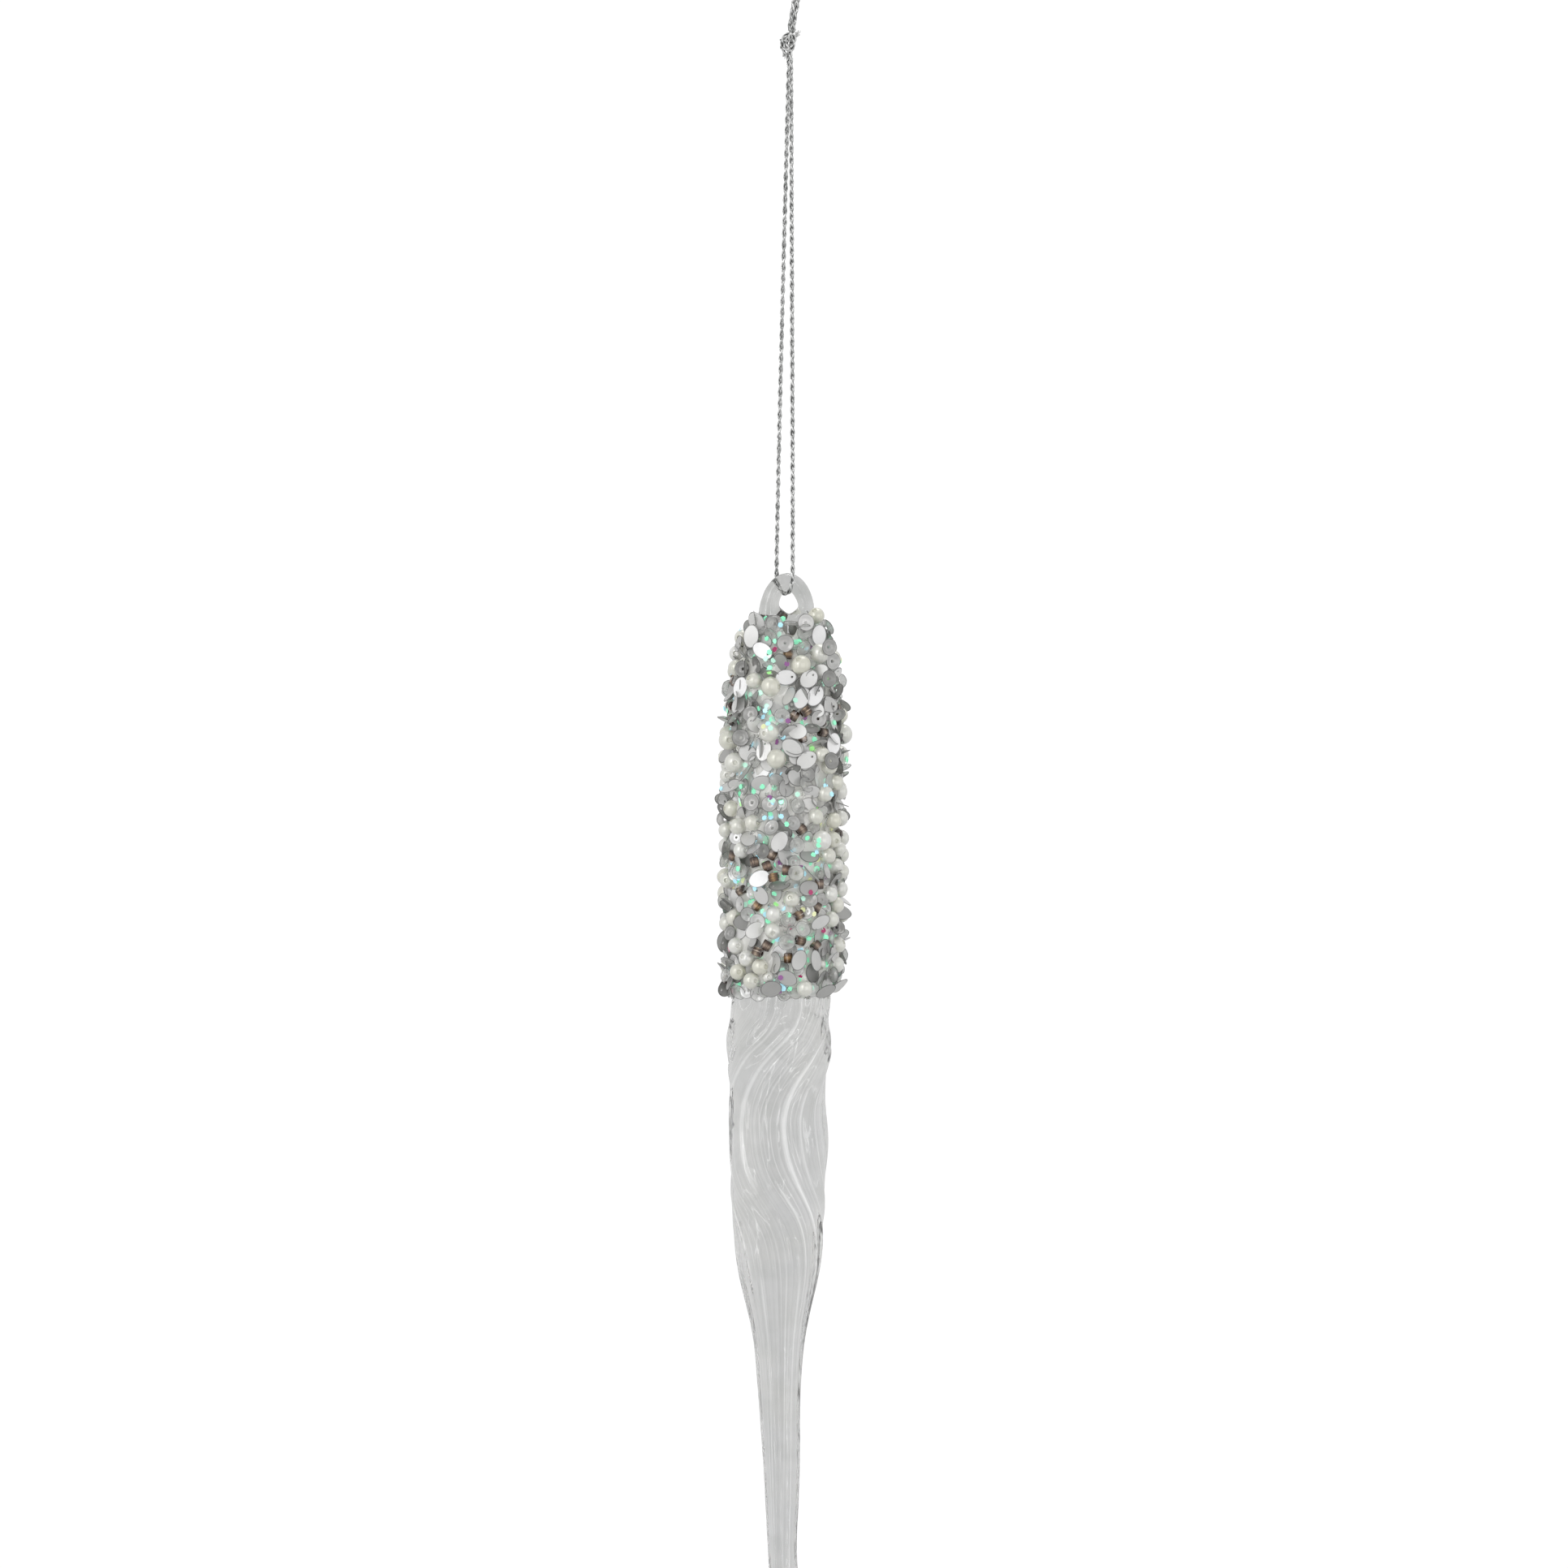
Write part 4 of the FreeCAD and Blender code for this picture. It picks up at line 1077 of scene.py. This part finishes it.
# What fills the gaps between the CAD beads: tries, size, share of the sizes kept clear, how far out it sits
# as a share of its size, and tilt in degrees.
FILLING = {
    "films": (2200, 1.2, 0.74, (0.3, 0.8), (4, 34)),
    "pearls": (700, 1.0, 0.9, (0.0, 0.4), (0, 180)),
    "films_low": (900, 0.8, 0.75, (0.05, 0.3), (5, 30)),
    "chips": (1500, 0.4, 0.8, (0.0, 0.35), (0, 180)),
    "flakes": (600, 0.45, 0.75, (0.08, 0.7), (0, 60)),
}


def make_filling(kinds, placed, glue):
    """Smaller and lower beads that fill the gaps between the CAD ones, down to the glue."""
    surface = Surface(glue, placed)
    draw = random.Random(77)
    for name, (tries, size, share, rise, tilts) in FILLING.items():
        heap = Heap()
        for _ in range(tries):
            found = surface.pick(draw, *SLEEVE_SPAN)
            own = size * draw.uniform(0.85, 1.15)
            if found is None:
                continue
            place, normal = found
            lift = 0.35 if place[1] < FRONT_Y and name == "films" else 1.0
            centre = place + normal * (draw.uniform(*rise) * own * lift)
            if not surface.clear_of(centre, own, share):
                continue
            axes = tilted_axes(normal, draw.uniform(*tilts), draw)
            # tone: for silver and mirror films, a random painted reflection
            tone = draw.random()
            if name.startswith("films"):
                shape = sequin_shape(draw) if draw.random() < 0.5 else paillette_shape(draw)
                kind = draw.choices((0, 1, 2), (3, 2, 5))[0]
                heap.add((shape[0] * draw.uniform(0.8, 1.0), shape[1]), centre, axes, tone, kind=kind)
            elif name == "pearls":
                heap.add(pearl_shape(own, 0.36, draw.uniform(0.92, 1.0)), centre, axes, tone)
            elif name == "chips":
                heap.add(chip_shape(draw), centre, axes, tone)
            else:
                heap.add(flake_shape(0.54, 0.07), centre, axes, tone, any_tint(draw))
            if name != "flakes":
                surface.add(centre, own)
        materials, slot = kinds[name.split("_")[0]]
        heap.build("filling_" + name, materials, smooth=name not in ("chips", "flakes"))


# Films that lie on top of the beads in front: sideways place, depth, kind, tone, and turn in degrees; the
# tone of a silver or mirror film is its painted reflection.
# Cups are of silver, clear or mirror film, and leaves of mirror film.
SILVER, CLEAR, MIRROR, LEAF = range(4)
FILM_MATERIALS = (0, 1, 2, 2)
FRONT_FILMS = [
    (-9.9, 127.9, SILVER, 0.35, 0), (-7.9, 129, LEAF, 0.45, -60), (-4.6, 129.3, CLEAR, 0.8, 0),
    (1.1, 129.1, SILVER, 0.8, 0), (3.6, 131.4, LEAF, 1, 75), (-8.9, 131.6, LEAF, 0.75, 85),
    (-6.8, 134.3, LEAF, 1, -32), (-2.6, 132.9, SILVER, 0.45, 0), (5.3, 133.6, SILVER, 0.3, 0),
    (6, 136.2, MIRROR, 0.4, 0), (-2.5, 139.2, LEAF, 0.95, 4), (1.7, 139.5, LEAF, 0.7, 40),
    (-10.4, 137.6, SILVER, 0.1, 0), (5.3, 139.4, SILVER, 0.05, 0), (0.4, 143, LEAF, 0.9, 62),
    (2.9, 142.6, LEAF, 1, 55), (5.3, 144.1, LEAF, 0.4, -20), (-10.9, 141, LEAF, 1, 80),
    (-11, 144, LEAF, 0.5, 60), (-8.9, 146, SILVER, 0.3, 0), (3.4, 146.8, SILVER, 0.5, 0),
    (-1.4, 152.2, LEAF, 0.5, -35), (-6.6, 152.6, LEAF, 0.6, 80), (1.3, 154.4, LEAF, 0.55, 30),
    (5.7, 154.6, SILVER, 0.05, 0), (6.3, 151.4, LEAF, 1, 70), (-8.7, 162.2, SILVER, 0.5, 0),
    (-3.7, 169.4, LEAF, 0.8, 60), (-0.7, 175.2, CLEAR, 1, 0), (-7.4, 176.2, LEAF, 1, 25),
]
FILM_PROBES = ((0.0, 0.0), (1.1, 0.0), (-1.1, 0.0), (0.0, 1.1), (0.0, -1.1))


def bead_tree():
    """The outside of all the beads laid so far."""
    names = ("detail_", "filling_")
    return tree_of(*(thing.data for thing in SCENE.objects if thing.name.startswith(names)))


def make_front_films(materials, slot):
    """The outermost films of the front, which lie over their neighbours and face forwards."""
    tree = bead_tree()
    draw = random.Random(21)
    heap = Heap()
    for x, depth, kind, tone, turn in FRONT_FILMS:
        reached = []
        for aside, down in FILM_PROBES:
            hit = tree.ray_cast(Vector((x + aside, -FAR_OUT, -depth - down)) * MM, Vector((0, 1, 0)))[0]
            if hit is not None:
                reached.append(hit.y / MM)
        if len(reached) < 3:
            continue
        face = unit(np.array([0.075 * (x - SLEEVE_X), -1.0, draw.uniform(-0.1, 0.25)]))
        right = unit(np.cross((0, 0, 1), face))
        angle = radians(turn)
        first = right * cos(angle) + np.cross(face, right) * sin(angle)
        shape = paillette_shape(draw) if kind == LEAF else sequin_shape(draw)
        middle = np.array([x, min(reached) - 0.05, -depth])
        axes = np.array([first, np.cross(face, first), face])
        heap.add(shape, middle, axes, tone, kind=FILM_MATERIALS[kind])
    heap.build("filling_front_films", materials)


# Glitter on the beads in front: sideways place, depth and how many flakes lie together.
FRONT_GLITTER = [
    (-5.4, 127.4, 1), (-6.9, 131.6, 2), (-3.8, 129.5, 1), (-6.7, 137, 5), (-2.2, 136.7, 1),
    (-6.1, 144.6, 3), (-3.4, 144.4, 2), (-6, 146.8, 4), (-2.1, 147.2, 1), (7.4, 147.5, 1),
    (-12.2, 147.5, 1), (-12.2, 160.4, 2), (-11.4, 162.6, 2), (-8.5, 159.6, 4), (-5.2, 161.5, 4),
    (-4, 163.2, 5), (-3.2, 160.6, 3), (5.2, 158.8, 2), (3, 167, 1), (1.6, 169.8, 4), (-2.4, 166.2, 1),
    (1.2, 175.2, 2), (2, 180.2, 4), (4, 179.6, 1), (-11.8, 176, 4), (-8.2, 178, 1), (-2.6, 195.2, 2),
    (-9.4, 183.2, 1), (-13.4, 189.6, 2),
]
HIDDEN_CLUSTERS = 34


def make_glitter(materials, slot):
    """Flakes of glitter stuck on top of the beads, alone and in clusters, all round the sleeve."""
    tree = bead_tree()
    draw = random.Random(9)
    clusters = []
    for x, depth, count in FRONT_GLITTER:
        aside = max(-1, min(1, (x - SLEEVE_X) / SLEEVE_RADIUS))
        clusters.append((asin(aside) - pi / 2, depth, count))
    for _ in range(HIDDEN_CLUSTERS):
        clusters.append((draw.uniform(0, pi), draw.uniform(129, 196), draw.choice((1, 1, 2, 3, 5))))
    heap = Heap()
    for turn, depth, count in clusters:
        main = any_tint(draw)
        for _ in range(count):
            angle = turn + draw.gauss(0, 0.13) * (count > 1)
            axis = Vector((SLEEVE_X, 0, -depth - draw.gauss(0, 1.2) * (count > 1)))
            place, normal, out = met_from_outside(tree, axis, angle)
            if place is None or (place / MM - axis).length < 4:
                continue
            face = unit(np.array((normal if normal.dot(out) > 0 else -normal) + out))
            axes = tilted_axes(face, draw.uniform(0, 14), draw)
            tint = main if draw.random() < 0.6 else any_tint(draw)
            heap.add(flake_shape(0.53, 0.07), np.array(place) / MM + face * 0.1, axes, draw.random(), tint)
    heap.build("glitter", materials, smooth=False)


# ---- floor, light and background

FLOOR_HALF = 2000.0
FLOOR_LEVEL = -2600.0


def make_floor():
    """A plain pale floor, far below the hanging ornament."""
    m = Nodes("pale_floor")
    m.put(Base_Color=(0.9, 0.9, 0.9, 1.0), Roughness=0.7)
    corners = [(x * FLOOR_HALF, y * FLOOR_HALF, FLOOR_LEVEL) for x, y in ((-1, -1), (1, -1), (1, 1), (-1, 1))]
    object_from("floor", corners, [(0, 1, 2, 3)], m.owner, smooth=False)


def make_world():
    """A white background, and a soft grey studio round the object for it to reflect and refract."""
    w = Nodes("studio", world=True)
    SCENE.world = w.owner
    x, y, z = w.node("SeparateXYZ", w.node("TexCoord").outputs["Generated"]).outputs
    back_and_top = w.math("ADD", w.span(y, 0.58, 0.77, -1.0), w.span(z, -0.11, 0.11, -1.0))
    sides = w.math("ABSOLUTE", x)
    w.put(Color=(0.8, 0.8, 0.8, 1.0), Strength=w.math("MULTIPLY_ADD", sides, 0.2, back_and_top))
    white = w.node("Background", Color=(1.0, 1.0, 1.0, 1.0), Strength=1.05)
    seen = w.node("LightPath").outputs["Is Camera Ray"]
    pick = w.node("MixShader", seen, w.shader.outputs["Background"], white.outputs["Background"])
    w.give(w.tree.nodes["World Output"].inputs["Surface"], pick.outputs["Shader"])


LIT_SPOT = (-0.003, 0, -0.2)


def softbox(name, place, size, power):
    """An area light aimed at the middle of the icicle."""
    light = bpy.data.lights.new(name, "AREA")
    light.shape = "RECTANGLE"
    light.size, light.size_y = size
    light.energy = power
    lamp = bpy.data.objects.new(name, light)
    lamp.location = place
    aim = Vector(LIT_SPOT) - lamp.location
    lamp.rotation_euler = aim.to_track_quat("-Z", "Y").to_euler()
    lamp.visible_camera = False
    lamp.visible_transmission = False
    SCENE.collection.objects.link(lamp)


def make_light():
    softbox("key", (-0.9, -1.2, 0.5), (0.7, 0.9), 3.8)
    strips = ((-1.1, -0.5, 0.7), (-0.75, -1.15, 1.3), (0.3, -1.45, 1.3), (0.85, -1.1, 1.3), (1.1, -0.3, 0.6))
    for number, (x, y, power) in enumerate(strips):
        softbox(f"strip_{number}", (x, y, -0.15), (0.08, 1.1), power)
    softbox("top", (0.2, 0.4, 1.3), (0.9, 0.9), 5.0)


# ---- build

SCENE.view_settings.view_transform = "Standard"
make_camera()
make_cords(cord_material())
make_icicle(clear_material())
glue = make_glue(glue_material())
# the dark and light ends of the films' painted reflection tones
silver = mirror_material("silver_sequin", (0.33, 0.33, 0.32), (0.74, 0.735, 0.72), 0.4)
mirror = mirror_material("mirror_paillette", (0.42, 0.42, 0.41), (0.84, 0.84, 0.825), 0.35)
clear_film = clear_sequin_material()
finishes = {
    "pearls": ([pearl_material()], "pearl"),
    "cup_sequins": ([silver, clear_film], "silver_sequin"),
    "paillettes": ([mirror], "mirror_paillette"),
    "films": ([silver, clear_film, mirror], "silver_sequin"),
    "cut_beads": ([bronze_material()], "bronze_bead"),
    "flakes": ([flake_material()], "iridescent_flake"),
    "chips": ([clear_film], "clear_glue"),
}
placed = make_beads(finishes)
make_filling(finishes, placed, glue)
make_front_films(*finishes["films"])
make_glitter(*finishes["flakes"])
make_floor()
make_world()
make_light()
